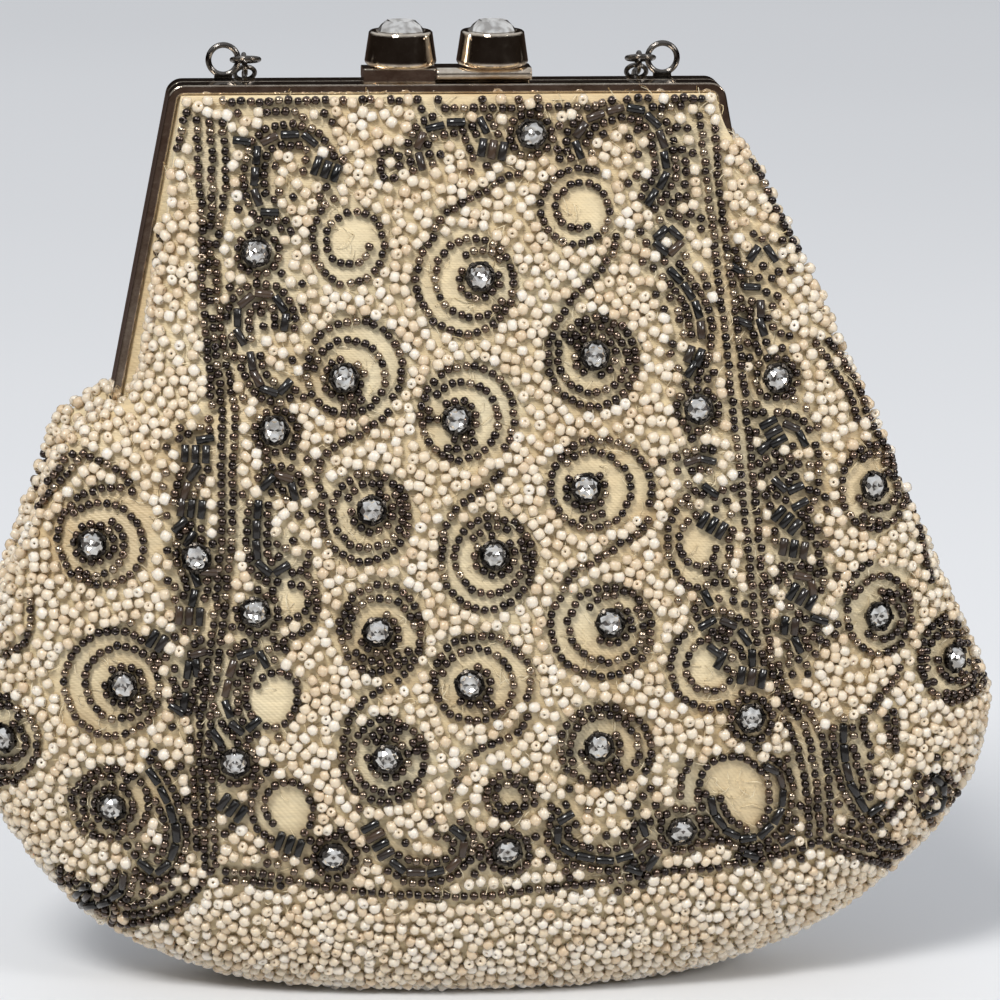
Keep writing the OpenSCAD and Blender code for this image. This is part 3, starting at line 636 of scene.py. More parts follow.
def lay_bugles(pixels):
    for place, along in zip(*walk(cloth_line(pixels), BUGLE_PITCH)):
        lay_bugle(place, unit(along + 0.08 * rng.normal(size=3)))


def offset_line(pixels, distance):
    direction = np.gradient(pixels, axis=0)
    side = unit(np.stack([-direction[:, 1], direction[:, 0]], -1))
    return pixels + side * distance


def near_stone(spot):
    return any(math.dist(spot, centre) < STONE_CLEAR for centre, _ in front_stones)


def pixel_bugle(middle, along, lift):
    ends = cloth_line([middle - along * BUGLE_HALF_PX, middle + along * BUGLE_HALF_PX])
    lay_bugle(ends.mean(0), unit(ends[1] - ends[0]), lift)


def lay_clusters():
    for centre, direction, count in BUGLE_CLUSTERS:
        turn = math.radians(direction)
        along = np.array([math.cos(turn), -math.sin(turn)])
        side = np.array([along[1], -along[0]])
        for k in range(count):
            aside = side * CLUSTER_PITCH_PX * (k - (count - 1) / 2)
            pixel_bugle(np.array(centre, float) + aside, along, CLUSTER_LIFT)
    for quarter in range(4):
        turn = math.radians(45 + 90 * quarter)
        out = np.array([math.cos(turn), math.sin(turn)])
        middle = np.array(CROSS_AT) + CROSS_ARM_PX * out
        pixel_bugle(middle, np.array([-out[1], out[0]]), CLUSTER_LIFT)


def lay_motifs():
    lay_clusters()
    for scroll in BUGLE_SCROLLS:
        lay_bugles(smooth_line(scroll))
    for stone in LONE_STONES:
        lay_seeds(ring_line(stone, LONE_RING_PX))
    for centre, radii, stone, start, tail in FIELD_SPIRALS + GUSSET_SPIRALS:
        lay_seeds(ring_line(stone, STONE_RING_PX))
        line = spiral_line(centre, radii, stone, start, SPIRAL_TURNS, STONE_RING_PX + SPIRAL_STOP_PX)
        if tail:
            line = np.vstack([smooth_line(tail + [tuple(line[0])])[:-1], line])
        lay_seeds(line)
        plain_discs.append((centre, max(radii)))
    for centre, radii, start, turns in BARE_SPIRALS:
        inner = min(radii) * mix(1.0, 0.32, turns / SPIRAL_TURNS)
        lay_seeds(spiral_line(centre, radii, centre, start, turns, inner))
        plain_discs.append((centre, min(radii)))
    for row in SEED_ROWS:
        lay_seeds(smooth_line(row))
    for scroll in BUGLE_SCROLLS:
        for distance in (-SCROLL_SIDE_PX, SCROLL_SIDE_PX):
            lay_seeds(offset_line(smooth_line(scroll), distance))


def in_band(pixels):
    """Which of the pixels lie in a dark band."""
    inside = np.zeros(len(pixels), bool)
    for line, half in DARK_BANDS:
        for a, b in zip(smooth_line(line, 3)[:-1], smooth_line(line, 3)[1:]):
            along = b - a
            share = np.clip((pixels - a) @ along / (along @ along), 0, 1)
            inside |= np.linalg.norm(pixels - a - share[:, None] * along, axis=1) < half
    return inside


def pixels_of(points):
    right, up, back = camera_axes()
    ray = points - camera_place()
    depth = -(ray @ back)
    return np.stack([PHOTO_PX / 2 + CAM_FOCAL_PX * (ray @ right) / depth,
                     PHOTO_PX / 2 - CAM_FOCAL_PX * (ray @ up) / depth], -1)


lay_motifs()


# Pearls: scattered as close as they go, clear of the motifs and of the plain satin in the spirals

PEARL_GAP, BASE_PEARL_GAP, PEARL_TO_SEED = 1.36, 1.30, 1.24
DARK_GAP, BAND_BUGLE_SHARE = 1.16, 0.16
DARK_SHARE, DARK_REACH = 0.42, 4.4
DISC_OVERLAP, PEARL_STONE_CLEAR, ON_END_PEARLS = 0.4, SETTING_D / 2 + 0.75, 0.2


def sample_cloth(count):
    """Random even points on the front's satin, with their normals."""
    a, b = SATIN[:-1, :-1], SATIN[1:, 1:]
    c, d = SATIN[1:, :-1], SATIN[:-1, 1:]
    area = np.linalg.norm(np.cross(b - a, d - c), axis=-1).ravel()
    total = np.cumsum(area)
    pick = np.searchsorted(total, rng.random(count) * total[-1])
    i, j = np.unravel_index(np.minimum(pick, area.size - 1), a.shape[:2])
    u, v = rng.random((count, 1)), rng.random((count, 1))

    def blend(grid):
        return (grid[i, j] * (1 - u) * (1 - v) + grid[i + 1, j] * u * (1 - v)
                + grid[i, j + 1] * (1 - u) * v + grid[i + 1, j + 1] * u * v)
    return blend(SATIN), unit(blend(NORMALS))


def fill_bands(tries=60_000):
    """Seeds at all angles, with a few bugles, over the dark bands."""
    points, normals = sample_cloth(tries)
    inside = in_band(pixels_of(points))
    for point, normal in zip(points[inside], normals[inside]):
        along = unit(np.cross(normal, unit(rng.normal(size=3))))
        if rng.random() < BAND_BUGLE_SHARE:
            lay_bugle(point, along, CLUSTER_LIFT)
            continue
        spot = point + normal * (BEAD_LIFT + rng.uniform(-0.05, 0.3))
        if taken.near(spot, DARK_GAP) or in_frame(spot) or near_stone(spot):
            continue
        taken.add(spot)
        seeds.append((spot, unit(along + normal * rng.normal() * 0.5), normal))


def scatter_beads(tries=150_000):
    """Pearls over the rest of the cloth, mixed with seeds beside the bugles."""
    points, normals = sample_cloth(tries)
    raised = points + normals * BEAD_LIFT
    clear = np.ones(len(points), bool)
    for centre, radius in plain_discs:
        plain = radius / CAM_FOCAL_PX * CAM_DISTANCE - DISC_OVERLAP
        clear &= np.linalg.norm(points - on_cloth(centre), axis=1) > plain
    for centre, _ in front_stones:
        clear &= np.linalg.norm(raised - centre, axis=1) > PEARL_STONE_CLEAR
    pearls, own = [], Spots(BEAD_CELL)
    for spot, normal in zip(raised[clear], normals[clear]):
        gap = BASE_PEARL_GAP if spot[2] < SEAM_H else PEARL_GAP
        if own.near(spot, gap) or taken.near(spot, PEARL_TO_SEED) or in_frame(spot):
            continue
        own.add(spot)
        along = unit(np.cross(normal, unit(rng.normal(size=3))))
        if rng.random() < ON_END_PEARLS:
            along = unit(along + normal * rng.uniform(1, 3))
        lifted = spot + normal * rng.uniform(-0.1, 0.25)
        dark = rng.random() < DARK_SHARE and dark_spots.near(spot, DARK_REACH)
        (seeds if dark else pearls).append((lifted, along, normal))
    return pearls


# Meshes

def ring_quads(count, sides):
    """For every point of count rings: itself, its neighbour on the ring, and both on the next ring."""
    here = np.arange(count * sides)
    beside = here - here % sides + (here + 1) % sides
    return here, beside, (here + sides) % len(here), (beside + sides) % len(here)


def lathe(profile, sides):
    """Quads of a closed profile of (radius, height) turned about Z."""
    angle = 2 * math.pi * np.arange(sides) / sides
    points = np.array([(r * math.cos(a), r * math.sin(a), h) for r, h in profile for a in angle])
    here, beside, above, both = ring_quads(len(profile), sides)
    return points, np.stack([here, above, both, beside], -1)


def tube(middles, across, raised, radius, sides):
    """An open tube round a line, with the ring's two directions given."""
    angle = 2 * math.pi * np.arange(sides)[:, None] / sides
    ring = np.cos(angle) * across[..., None, :] + np.sin(angle) * raised
    here, beside, above, both = ring_quads(len(middles), sides)
    points = (middles[:, None] + radius * ring).reshape(-1, 3)
    return points, np.stack([here, beside, both, above], -1)[:-sides]


def join(parts):
    """One set of points and faces out of several."""
    starts = np.cumsum([0] + [len(points) for points, _ in parts[:-1]])
    return (np.vstack([points for points, _ in parts]),
            np.vstack([faces + start for (_, faces), start in zip(parts, starts)]))


def bead_form(diameter, length, hole=0.3):
    r, h = diameter / 2, length / 2
    return lathe([(r * hole, h * 0.86), (r * 0.68, h), (r * 0.97, h * 0.46), (r * 0.97, -h * 0.46),
                  (r * 0.68, -h), (r * hole, -h * 0.86)], 8)


def tube_form(diameter, length, wall=0.5):
    r, h = diameter / 2, length / 2
    return lathe([(r * wall, h * 0.97), (r * 0.86, h), (r, h * 0.94), (r, -h * 0.94),
                  (r * 0.86, -h), (r * wall, -h * 0.97)], 10)


def quad_mesh(name, points, faces, smooth=True):
    """A mesh object of quads or triangles, from millimetres."""
    mesh = bpy.data.meshes.new(name)
    count, sides = faces.shape
    mesh.vertices.add(len(points))
    mesh.vertices.foreach_set("co", (np.asarray(points) * MM).astype(np.float32).ravel())
    mesh.loops.add(count * sides)
    mesh.loops.foreach_set("vertex_index", faces.astype(np.int32).ravel())
    mesh.polygons.add(count)
    mesh.polygons.foreach_set("loop_start", np.arange(0, count * sides, sides, dtype=np.int32))
    mesh.polygons.foreach_set("use_smooth", np.full(count, smooth))
    mesh.update(calc_edges=True)
    mesh.validate()
    obj = bpy.data.objects.new(name, mesh)
    bpy.context.scene.collection.objects.link(obj)
    return obj


def tone_points(obj, tones):
    attribute = obj.data.attributes.new("tone", "FLOAT", "POINT")
    attribute.data.foreach_set("value", np.asarray(tones, np.float32))


def copies(name, form, places, scales, tones, smooth=True):
    """One mesh of many copies of form, each with Z along its axis."""
    points, faces = form
    at = np.array([p[0] for p in places])
    z = unit(np.array([p[1] for p in places]))
    n = np.array([p[2] for p in places])
    x = unit(np.cross(n, z) + 1e-6)
    y = np.cross(z, x)
    turn = np.stack([x, y, z], -1)
    local = points[None] * scales[:, None, :]
    world = at[:, None] + np.einsum("nij,nkj->nki", turn, local)
    all_faces = faces[None] + (np.arange(len(at)) * len(points))[:, None, None]
    obj = quad_mesh(name, world.reshape(-1, 3), all_faces.reshape(-1, faces.shape[1]), smooth)
    tone_points(obj, np.repeat(tones, len(points)))
    return obj


def mirrored(places):
    flip = np.array([1, -1, 1])
    return [tuple(v * flip for v in p) for p in places]


def on_front(obj):
    """Leaves the piece where it is, with its transform baked into its mesh."""
    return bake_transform(obj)


def on_rear(obj):
    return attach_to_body(obj, "rear_half")


def dress(obj, material, slot_name, attach, *nodes):
    """Gives a piece its material, hides the CAD nodes that it replaces and hands it to attach; slot_name is
    not used.
    """
    obj.data.materials.append(material)
    if nodes:
        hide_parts(*nodes)
    attach(obj)


def front_and_rear(name, points, faces):
    """The same surface in front and, mirrored, behind, with how each is attached."""
    yield quad_mesh("front_" + name, points, faces), on_front
    yield quad_mesh("rear_" + name, points * [1, -1, 1], faces[:, ::-1]), on_rear


def bead_pieces(name, form, places, material, spread=0.05):
    """Beads of the front and, mirrored, of the rear, cut into pieces of limited size from the top down."""
    most = PIECE_FACES // (len(form[1]) * 2)
    for side, attach, group in (("front", on_front, places), ("rear", on_rear, mirrored(places))):
        group = sorted(group, key=lambda p: -p[0][2])
        parts = math.ceil(len(group) / most)
        for k in range(parts):
            chunk = group[k * most:(k + 1) * most]
            scales = 1 + rng.normal(size=(len(chunk), 3)) * spread
            obj = copies(f"{side}_{name}_{k + 1}", form, chunk, np.clip(scales, 0.85, 1.15),
                         rng.random(len(chunk)))
            dress(obj, material, "beaded_satin", attach)


# Materials

def colour_ramp(tree, source, stops):
    """Colours or grey levels at places from 0 to 1."""
    node = tree.nodes.new("ShaderNodeValToRGB")
    elements = node.color_ramp.elements
    while len(elements) < len(stops):
        elements.new(0.5)
    for element, (place, colour) in zip(elements, stops):
        element.position = place
        element.color = (*colour, 1) if isinstance(colour, tuple) else (colour, colour, colour, 1)
    tree.links.new(source, node.inputs["Fac"])
    return node.outputs["Color"]


def part_of(tree, vector, axis, low, high):
    """One part of a vector, brought from the range low to high to 0 to 1."""
    parts = tree.nodes.new("ShaderNodeSeparateXYZ")
    tree.links.new(vector, parts.inputs["Vector"])
    node = tree.nodes.new("ShaderNodeMapRange")
    node.inputs["From Min"].default_value = low
    node.inputs["From Max"].default_value = high
    tree.links.new(parts.outputs[axis], node.inputs["Value"])
    return node.outputs["Result"]


class Nodes:
    """A short way to write a node material."""

    def __init__(self, name):
        self.material = bpy.data.materials.new(name)
        self.material.use_nodes = True
        self.tree = self.material.node_tree
        self.shader = self.tree.nodes["Principled BSDF"]
        self.coords = self.tree.nodes.new("ShaderNodeTexCoord").outputs["Object"]

    def set(self, **values):
        for key, value in values.items():
            self.shader.inputs[key.replace("_", " ")].default_value = value
        return self

    def link(self, source, target):
        self.tree.links.new(source, self.shader.inputs[target] if isinstance(target, str) else target)

    def noise(self, per_mm, detail=2.0, rough=0.5, stretch=(1, 1, 1)):
        node = self.tree.nodes.new("ShaderNodeTexNoise")
        node.inputs["Scale"].default_value = per_mm / MM
        node.inputs["Detail"].default_value = detail
        node.inputs["Roughness"].default_value = rough
        mapping = self.tree.nodes.new("ShaderNodeMapping")
        mapping.inputs["Scale"].default_value = stretch
        self.tree.links.new(self.coords, mapping.inputs["Vector"])
        self.tree.links.new(mapping.outputs["Vector"], node.inputs["Vector"])
        return node.outputs["Fac"]

    def bands(self, per_mm, direction, distortion=0.0):
        node = self.tree.nodes.new("ShaderNodeTexWave")
        node.bands_direction = direction
        node.inputs["Scale"].default_value = per_mm / MM * 0.314
        node.inputs["Distortion"].default_value = distortion
        node.inputs["Detail"].default_value = 1.0
        self.tree.links.new(self.coords, node.inputs["Vector"])
        return node.outputs["Fac"]

    def attribute(self, name):
        node = self.tree.nodes.new("ShaderNodeAttribute")
        node.attribute_name = name
        return node.outputs["Fac"]

    def ramp(self, source, *stops):
        return colour_ramp(self.tree, source, stops)

    def blend(self, a, b, share, mode="MIX"):
        node = self.tree.nodes.new("ShaderNodeMix")
        node.data_type = "RGBA"
        node.blend_type = mode
        for value, socket in ((share, node.inputs["Factor"]), (a, node.inputs["A"]), (b, node.inputs["B"])):
            if isinstance(value, (float, int)):
                socket.default_value = value
            elif isinstance(value, tuple):
                socket.default_value = (*value, 1)
            else:
                self.tree.links.new(value, socket)
        return node.outputs["Result"]

    def bump(self, height, depth_mm, strength=1.0):
        node = self.tree.nodes.new("ShaderNodeBump")
        node.inputs["Strength"].default_value = strength
        node.inputs["Distance"].default_value = depth_mm * MM
        self.tree.links.new(height, node.inputs["Height"])
        self.link(node.outputs["Normal"], "Normal")
        return self


def pearl_material():
    n = Nodes("milky pearl glass")
    tone = n.attribute("tone")
    n.link(n.ramp(tone, (0.0, (0.64, 0.50, 0.34)), (0.3, (0.71, 0.595, 0.44)), (0.75, (0.75, 0.66, 0.53)),
                  (1.0, (0.78, 0.715, 0.62))), "Base Color")
    n.set(Roughness=0.26, Subsurface_Weight=0.35, Subsurface_Scale=0.5 * MM, Coat_Weight=0.5,
          Coat_Roughness=0.1, IOR=1.5)
    n.shader.inputs["Subsurface Radius"].default_value = (1.0, 0.85, 0.65)
    n.bump(n.noise(0.9, 1.0), 0.06, 0.5)
    return n.material


def seed_material():
    n = Nodes("bronze seed glass")
    tone = n.attribute("tone")
    n.link(n.ramp(tone, (0.0, (0.022, 0.012, 0.009)), (0.55, (0.060, 0.036, 0.026)),
                  (0.82, (0.17, 0.11, 0.075)), (1.0, (0.50, 0.40, 0.29))), "Base Color")
    n.set(Metallic=0.9, Coat_Weight=1.0, Coat_Roughness=0.05)
    n.link(n.ramp(n.noise(1.2, 2.0), (0.3, 0.12), (0.75, 0.30)), "Roughness")
    return n.material


def bugle_material():
    n = Nodes("black bugle glass")
    tone = n.attribute("tone")
    n.link(n.ramp(tone, (0.0, (0.008, 0.008, 0.008)), (0.8, (0.020, 0.018, 0.017)),
                  (1.0, (0.07, 0.045, 0.03))), "Base Color")
    n.set(Metallic=0.0, Specular_IOR_Level=0.3, Coat_Weight=0.7, Coat_Roughness=0.03)
    n.link(n.ramp(n.noise(0.7, 2.0), (0.3, 0.05), (0.8, 0.12)), "Roughness")
    return n.material


def satin_material():
    n = Nodes("cream satin")
    patches = n.noise(0.055, 3.0, 0.6)
    threads_across = n.noise(1.4, 2.0, 0.6, stretch=(0.18, 1.0, 1.0))
    base = n.ramp(patches, (0.3, (0.66, 0.49, 0.27)), (0.5, (0.78, 0.64, 0.40)), (0.7, (0.82, 0.71, 0.48)))
    n.link(n.blend(base, n.ramp(threads_across, (0.25, 0.55), (0.7, 1.0)), 0.4, "MULTIPLY"), "Base Color")
    n.set(Roughness=0.42, Sheen_Weight=0.35, Sheen_Roughness=0.4)
    weave = n.blend(n.bands(4.2, "Z", 0.6), n.bands(2.6, "DIAGONAL", 0.4), 0.5)
    n.bump(n.blend(weave, threads_across, 0.5), 0.12, 0.8)
    return n.material


def yarn_material(name, noise, low, high, stops, rough, sheen):
    """A plain fibre material: colours by a noise, and how rough and how fluffy it is."""
    n = Nodes(name)
    n.link(n.ramp(noise(n), (stops[0], low), (stops[1], high)), "Base Color")
    return n.set(Roughness=rough, Sheen_Weight=sheen)


def thread_material():
    n = yarn_material("cream sewing thread", lambda n: n.noise(0.3, 2.0), (0.72, 0.56, 0.30),
                      (0.90, 0.80, 0.58), (0.3, 0.7), 0.5, 0.3)
    return n.bump(n.bands(6.0, "DIAGONAL"), 0.03).material


EDGE_ROUND = 0.4


def metal_material(name, dark, light, low, high, grain=0.35):
    """Polished metal whose edges look rounded: dark to light colours, low to high roughness."""
    n = Nodes(name)
    wear = n.noise(grain, 4.0, 0.65)
    n.link(n.ramp(wear, (0.32, dark), (0.62, light)), "Base Color")
    n.link(n.ramp(n.noise(grain * 2.3, 3.0), (0.3, low), (0.7, high)), "Roughness")
    n.set(Metallic=1.0)
    n.bump(n.noise(grain * 3, 3.0), 0.008, 0.6)
    edges = n.tree.nodes.new("ShaderNodeBevel")
    edges.inputs["Radius"].default_value = EDGE_ROUND * MM
    n.tree.links.new(edges.outputs["Normal"], n.tree.nodes["Bump"].inputs["Normal"])
    return n.material


def crystal_material():
    n = Nodes("foiled crystal")
    n.link(n.ramp(n.noise(0.8, 1.0), (0.35, (0.52, 0.50, 0.47)), (0.6, (0.94, 0.93, 0.90))), "Base Color")
    n.set(Metallic=0.92, Roughness=0.05, Coat_Weight=1.0, Coat_Roughness=0.02)
    return n.material


def lining_material():
    n = yarn_material("plain lining satin", lambda n: n.noise(1.6, 2.0, 0.6, stretch=(0.2, 1.0, 1.0)),
                      (0.62, 0.50, 0.33), (0.78, 0.67, 0.48), (0.3, 0.7), 0.45, 0.3)
    return n.bump(n.bands(4.0, "Z", 0.5), 0.08, 0.7).material


def cord_material():
    n = yarn_material("twisted paper cord", lambda n: n.noise(0.8, 3.0), (0.55, 0.45, 0.30),
                      (0.76, 0.66, 0.48), (0.3, 0.7), 0.8, 0.0)
    return n.bump(n.noise(1.5, 3.0), 0.05).material


PEARL, SEED, BUGLE = pearl_material(), seed_material(), bugle_material()
SATIN_CLOTH, THREAD = satin_material(), thread_material()
LINING, CORD = lining_material(), cord_material()
CHAMPAGNE = metal_material("champagne plating", (0.56, 0.46, 0.36), (0.84, 0.75, 0.63), 0.04, 0.11)
GUNMETAL = metal_material("gunmetal plating", (0.10, 0.092, 0.085), (0.20, 0.185, 0.17), 0.08, 0.2)
DARK_SILVER = metal_material("dark silver", (0.02, 0.017, 0.015), (0.12, 0.105, 0.09), 0.12, 0.3)
RIVET_METAL = metal_material("rivet silver", (0.20, 0.18, 0.16), (0.46, 0.43, 0.39), 0.2, 0.4)
CRYSTAL = crystal_material()


# The cloth

def satin_pieces():
    grid = hemmed(SATIN)
    gussets = ("gusset_left", "gusset_right")
    nodes = (("front_panel_upper", "front_panel_fold", "front_panel_lower", "front_wing_left",
              "front_wing_right", "gusset_fold_left", "gusset_fold_right", *gussets),
             ("rear_panel", "rear_wing_left", "rear_wing_right", "bottom_panel", *gussets))
    pieces = front_and_rear("satin", grid.reshape(-1, 3), grid_faces(*grid.shape[:2]))
    for (obj, attach), replaced in zip(pieces, nodes):
        dress(obj, SATIN_CLOTH, "beaded_satin", attach, *replaced)


LINING_LOW, LINING_MEET_H, EAR_GAP = 0.12, 60, 0.15


def lining_grid():
    """The lining's front: the pouch's bowl below the fold, the narrow throat above it."""
    off = CLOTH_T + 2 * SOFT_GAP
    low = off + (BELLY_H - off) * (1 - np.cos(np.linspace(LINING_LOW, 1, 14) * math.pi / 2))
    z = np.concatenate([low, np.linspace(BELLY_H + 2, SKIN_TOP_H - WALL_H, 40)])
    run = np.linspace(-1, 1, 61)
    zz = np.broadcast_to(z, (len(run), len(z)))
    share = np.broadcast_to(run[:, None], zz.shape)
    bowl = front_at(share * (90 + curl(zz)), zz, off)
    rear_ear_in = leg_x(LEG_END_H, 0) - 3 * SHEET_T - 2 * EAR_GAP
    inset = lip_x(HINGE_H) - rear_ear_in + SOFT_GAP
    low_z = np.minimum(zz, GUSSET_TOP_H)
    side = half_w(low_z, CLOTH_T) * np.cos(np.radians(curl(low_z)))
    x = np.minimum(lip_x(zz) - inset, side - lean(zz) - SOFT_GAP) * share
    deep = np.maximum(half_d(zz) - CLOTH_T - SOFT_GAP, HALF_DEPTH / 2)
    throat = np.stack([x, -mix(HALF_DEPTH / 2, deep, np.cos(np.pi / 2 * share)), zz], -1)
    return mix(bowl, throat, ease((zz - LINING_MEET_H) / (FOLD_LOW_H - LINING_MEET_H))[..., None])


def lining_pieces():
    grid = lining_grid()
    nodes = (("lining_front", "lining_fold"), ("lining_rear", "lining_pouch"))
    pieces = front_and_rear("lining", grid.reshape(-1, 3), grid_faces(*grid.shape[:2]))
    for (obj, attach), replaced in zip(pieces, nodes):
        dress(obj, LINING, "lining_satin", attach, *replaced)


def cord_pieces(rings=360, lay=3.2):
    """Two strands twisted round each other in each channel, one turn in every lay."""
    inset = SHEET_T + WEDGE_R + SOFT_GAP / 3
    corner = TOP_W / 2 - inset * (1 - LEG_SLOPE * LEG_NX) / LEG_NX
    high = TOP_H - inset
    foot_z = LEG_END_H + WALL_H + EAR_NECK + 1
    foot_x = corner + (high - foot_z) * LEG_SLOPE
    route = np.array([(-foot_x, foot_z), (-corner, high), (corner, high), (foot_x, foot_z)])
    at = np.linspace(0, runs(route)[-1], rings)
    x, z = points_at(route, at).T
    centre = np.stack([x, 0 * x + (MATE_GAP / 2 + HALF_DEPTH) / 2, z], -1)
    back = np.array([0.0, 1.0, 0.0])
    across = np.cross(unit(np.gradient(centre, axis=0)), back)
    strand_r = WEDGE_R * 0.5
    strands = []
    for start in (0, math.pi):
        twist = (at * 2 * math.pi / lay + start)[:, None]
        middle = centre + strand_r * 0.85 * (np.cos(twist) * across + np.sin(twist) * back)
        strands.append(tube(middle, across, back, strand_r, 6))
    points, faces = join(strands)
    for name, flip, body in (("rear_frame_cord", 1, "rear_half"), ("front_frame_cord", -1, "front_half")):
        dress(quad_mesh(name + "_twist", points * [1, flip, 1], faces), CORD, "cord",
              lambda obj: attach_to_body(obj, body), name)


# Stones and their claw settings, at the places of the CAD's own

CLAWS = 6
# Corners of a claw's section: (side, up, out)
CLAW_CORNERS = ((1, -0.1, -0.1), (1, 0.05, 0.12), (-1, 0.05, 0.12), (-1, -0.1, -0.1))


def claw_setting():
    """A round cup with claws bent in over the stone. Its origin is the middle of the foot."""
    r, h = SETTING_D / 2, SETTING_H
    seat = GEM_D / 2 + 0.05
    parts = [lathe([(r * 0.86, 0), (r * 0.97, h * 0.45), (r, h * 0.86), (r * 0.95, h), (seat, h),
                    (seat, h - BED_H), (0.05, h - BED_H), (0.05, 0)], 18)]
    # Radius, height and half width along a claw
    path = [(r * 1.0, h * 0.5, 0.42), (r * 0.99, h + 0.12, 0.36), (r * 0.8, h + 0.36, 0.26),
            (r * 0.66, h + 0.34, 0.14)]
    here, beside, above, both = ring_quads(len(path), 4)
    sides = np.stack([here, above, both, beside], -1)[:-4]
    faces = np.vstack([sides, here[-4:]])
    for k in range(CLAWS):
        turn = 2 * math.pi * k / CLAWS
        out = np.array([math.cos(turn), math.sin(turn), 0])
        side = np.array([-out[1], out[0], 0])
        up = np.array([0, 0, 1.0])
        points = [out * (radius + o) + up * (height + u) + side * half * way
                  for radius, height, half in path for way, u, o in CLAW_CORNERS]
        parts.append((np.array(points), faces))
    return join(parts)


def cut_stone(radius, crown, sides, table=0.58):
    """A cut stone's crown with two rows of facets, and a table that shows the pavilion's star below it."""
    def level(r, z, shift, count=sides):
        angle = 2 * math.pi * (np.arange(count) + shift) / count
        return np.stack([r * np.cos(angle), r * np.sin(angle), 0 * angle + z], -1)
    rings = [level(radius, -0.1, 0), level(radius, 0.06, 0), level(radius * 0.82, crown * 0.55, 0.5),
             level(radius * table, crown, 0), level(radius * table * 0.52, crown * 0.72, 0.5)]
    points = np.vstack(rings + [[[0, 0, crown * 0.92]]])
    faces = []
    for s in range(sides):
        t = (s + 1) % sides
        a, b, c, d, e, tip = (k * sides for k in range(6))
        faces += [(a + s, a + t, b + t), (a + s, b + t, b + s)]
        faces += [(b + s, b + t, c + s), (b + t, c + t, c + s)]
        faces += [(c + s, c + t, d + t), (c + s, d + t, d + s)]
        faces += [(d + s, d + t, e + s), (d + t, e + t, e + s)]
        faces += [(e + s, e + t, tip)]
    return points, np.array(faces)


def stone_pieces():
    setting, stone = claw_setting(), cut_stone(GEM_D / 2, GEM_H, 8)
    groups = (("front", on_front, FRONT_SETTINGS, ["stones_upper", "stones_fold", "stones_lower"]),
              ("rear", on_rear, ["settings_rear"], ["stones_rear"]))
    for side, attach, setting_nodes, stone_nodes in groups:
        places = [p for node in setting_nodes for p in stone_places(node)]
        spin = [unit(np.cross(axis, unit(rng.normal(size=3)))) for _, axis in places]
        feet = [(c - a * SETTING_H / 2, a, s) for (c, a), s in zip(places, spin)]
        beds = [(c + a * (SETTING_H / 2 - 0.1), unit(a + 0.05 * rng.normal(size=3)), s)
                for (c, a), s in zip(places, spin)]
        plain = np.ones((len(places), 3))
        claws = copies(side + "_claw_settings", setting, feet, plain, rng.random(len(places)), False)
        gems = copies(side + "_crystals", stone, beds, plain, rng.random(len(places)), False)
        for obj, material, slot_name, nodes in ((claws, DARK_SILVER, "setting_metal", setting_nodes),
                                                (gems, CRYSTAL, "crystal", stone_nodes)):
            dress(obj, material, slot_name, attach, *nodes)


def knob_stones(girdle_h=0.8):
    for side, body in (("left", "front_half"), ("right", "rear_half")):
        low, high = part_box("knob_stone_" + side)
        foot = np.array([(low.x + high.x) / 2, (low.y + high.y) / 2, low.z]) / MM
        form = cut_stone((high.x - low.x) / 2 / MM, (high.z - low.z) / MM - girdle_h, 12, 0.6)
        place = [(foot + [0, 0, girdle_h], np.array([0, 0, 1.0]), np.array([1.0, 0, 0]))]
        obj = copies("knob_crystal_" + side, form, place, np.ones((1, 3)), [0.5], False)
        dress(obj, CRYSTAL, "crystal", lambda piece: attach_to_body(piece, body), "knob_stone_" + side)


# Loose sewing threads between the beads

THREAD_R, THREAD_SIDES, THREAD_RINGS = 0.07, 3, 5


def thread_pieces(count=2600):
    points, normals = sample_cloth(count)
    t = np.linspace(0, 1, THREAD_RINGS)[:, None]
    arch = np.sin(math.pi * t)
    threads = []
    for point, normal in zip(points, normals):
        along = unit(np.cross(normal, unit(rng.normal(size=3))))
        across = np.cross(normal, along)
        length, high, bend = rng.uniform(1.2, 3.4), rng.uniform(0.25, 1.15), rng.normal() * 0.5
        middles = (point + along * length * (t - 0.5) + across * bend * arch
                   + normal * (0.05 + high * arch))
        threads.append(tube(middles, across, normal, THREAD_R, THREAD_SIDES))
    points, faces = join(threads)
    for name, attach, flip in (("front_threads", on_front, 1), ("rear_threads", on_rear, -1)):
        dress(quad_mesh(name, points * [1, flip, 1], faces), THREAD, "beaded_satin", attach)


satin_pieces()
lining_pieces()
cord_pieces()
stone_pieces()
knob_stones()
fill_bands()
pearls = scatter_beads()
bead_pieces("seed_beads", bead_form(SEED_D, SEED_L), seeds, SEED)
bead_pieces("bugle_beads", tube_form(BUGLE_D, BUGLE_L), bugles, BUGLE, 0.03)
bead_pieces("pearls", bead_form(PEARL_D, PEARL_L, PEARL_HOLE), pearls, PEARL, 0.07)
thread_pieces()


# CAD nodes that stay, with their materials

KEPT = {
    CHAMPAGNE: ["frame_front", "frame_rear", "clasp_tongue_left", "clasp_tongue_right", "knob_cup_left",
                "knob_cup_right"],
    RIVET_METAL: ["hinge_rivet_left", "hinge_rivet_right"],
    GUNMETAL: ["chain_eye_left", "chain_eye_right", "end_link_left", "end_link_right", "chain_edge_links",
               "chain_flat_links"],
}
for material, names in KEPT.items():
    for name in names:
        node = frame["nodes"][name]
        node.data.materials.clear()
        node.data.materials.append(material)


# Studio

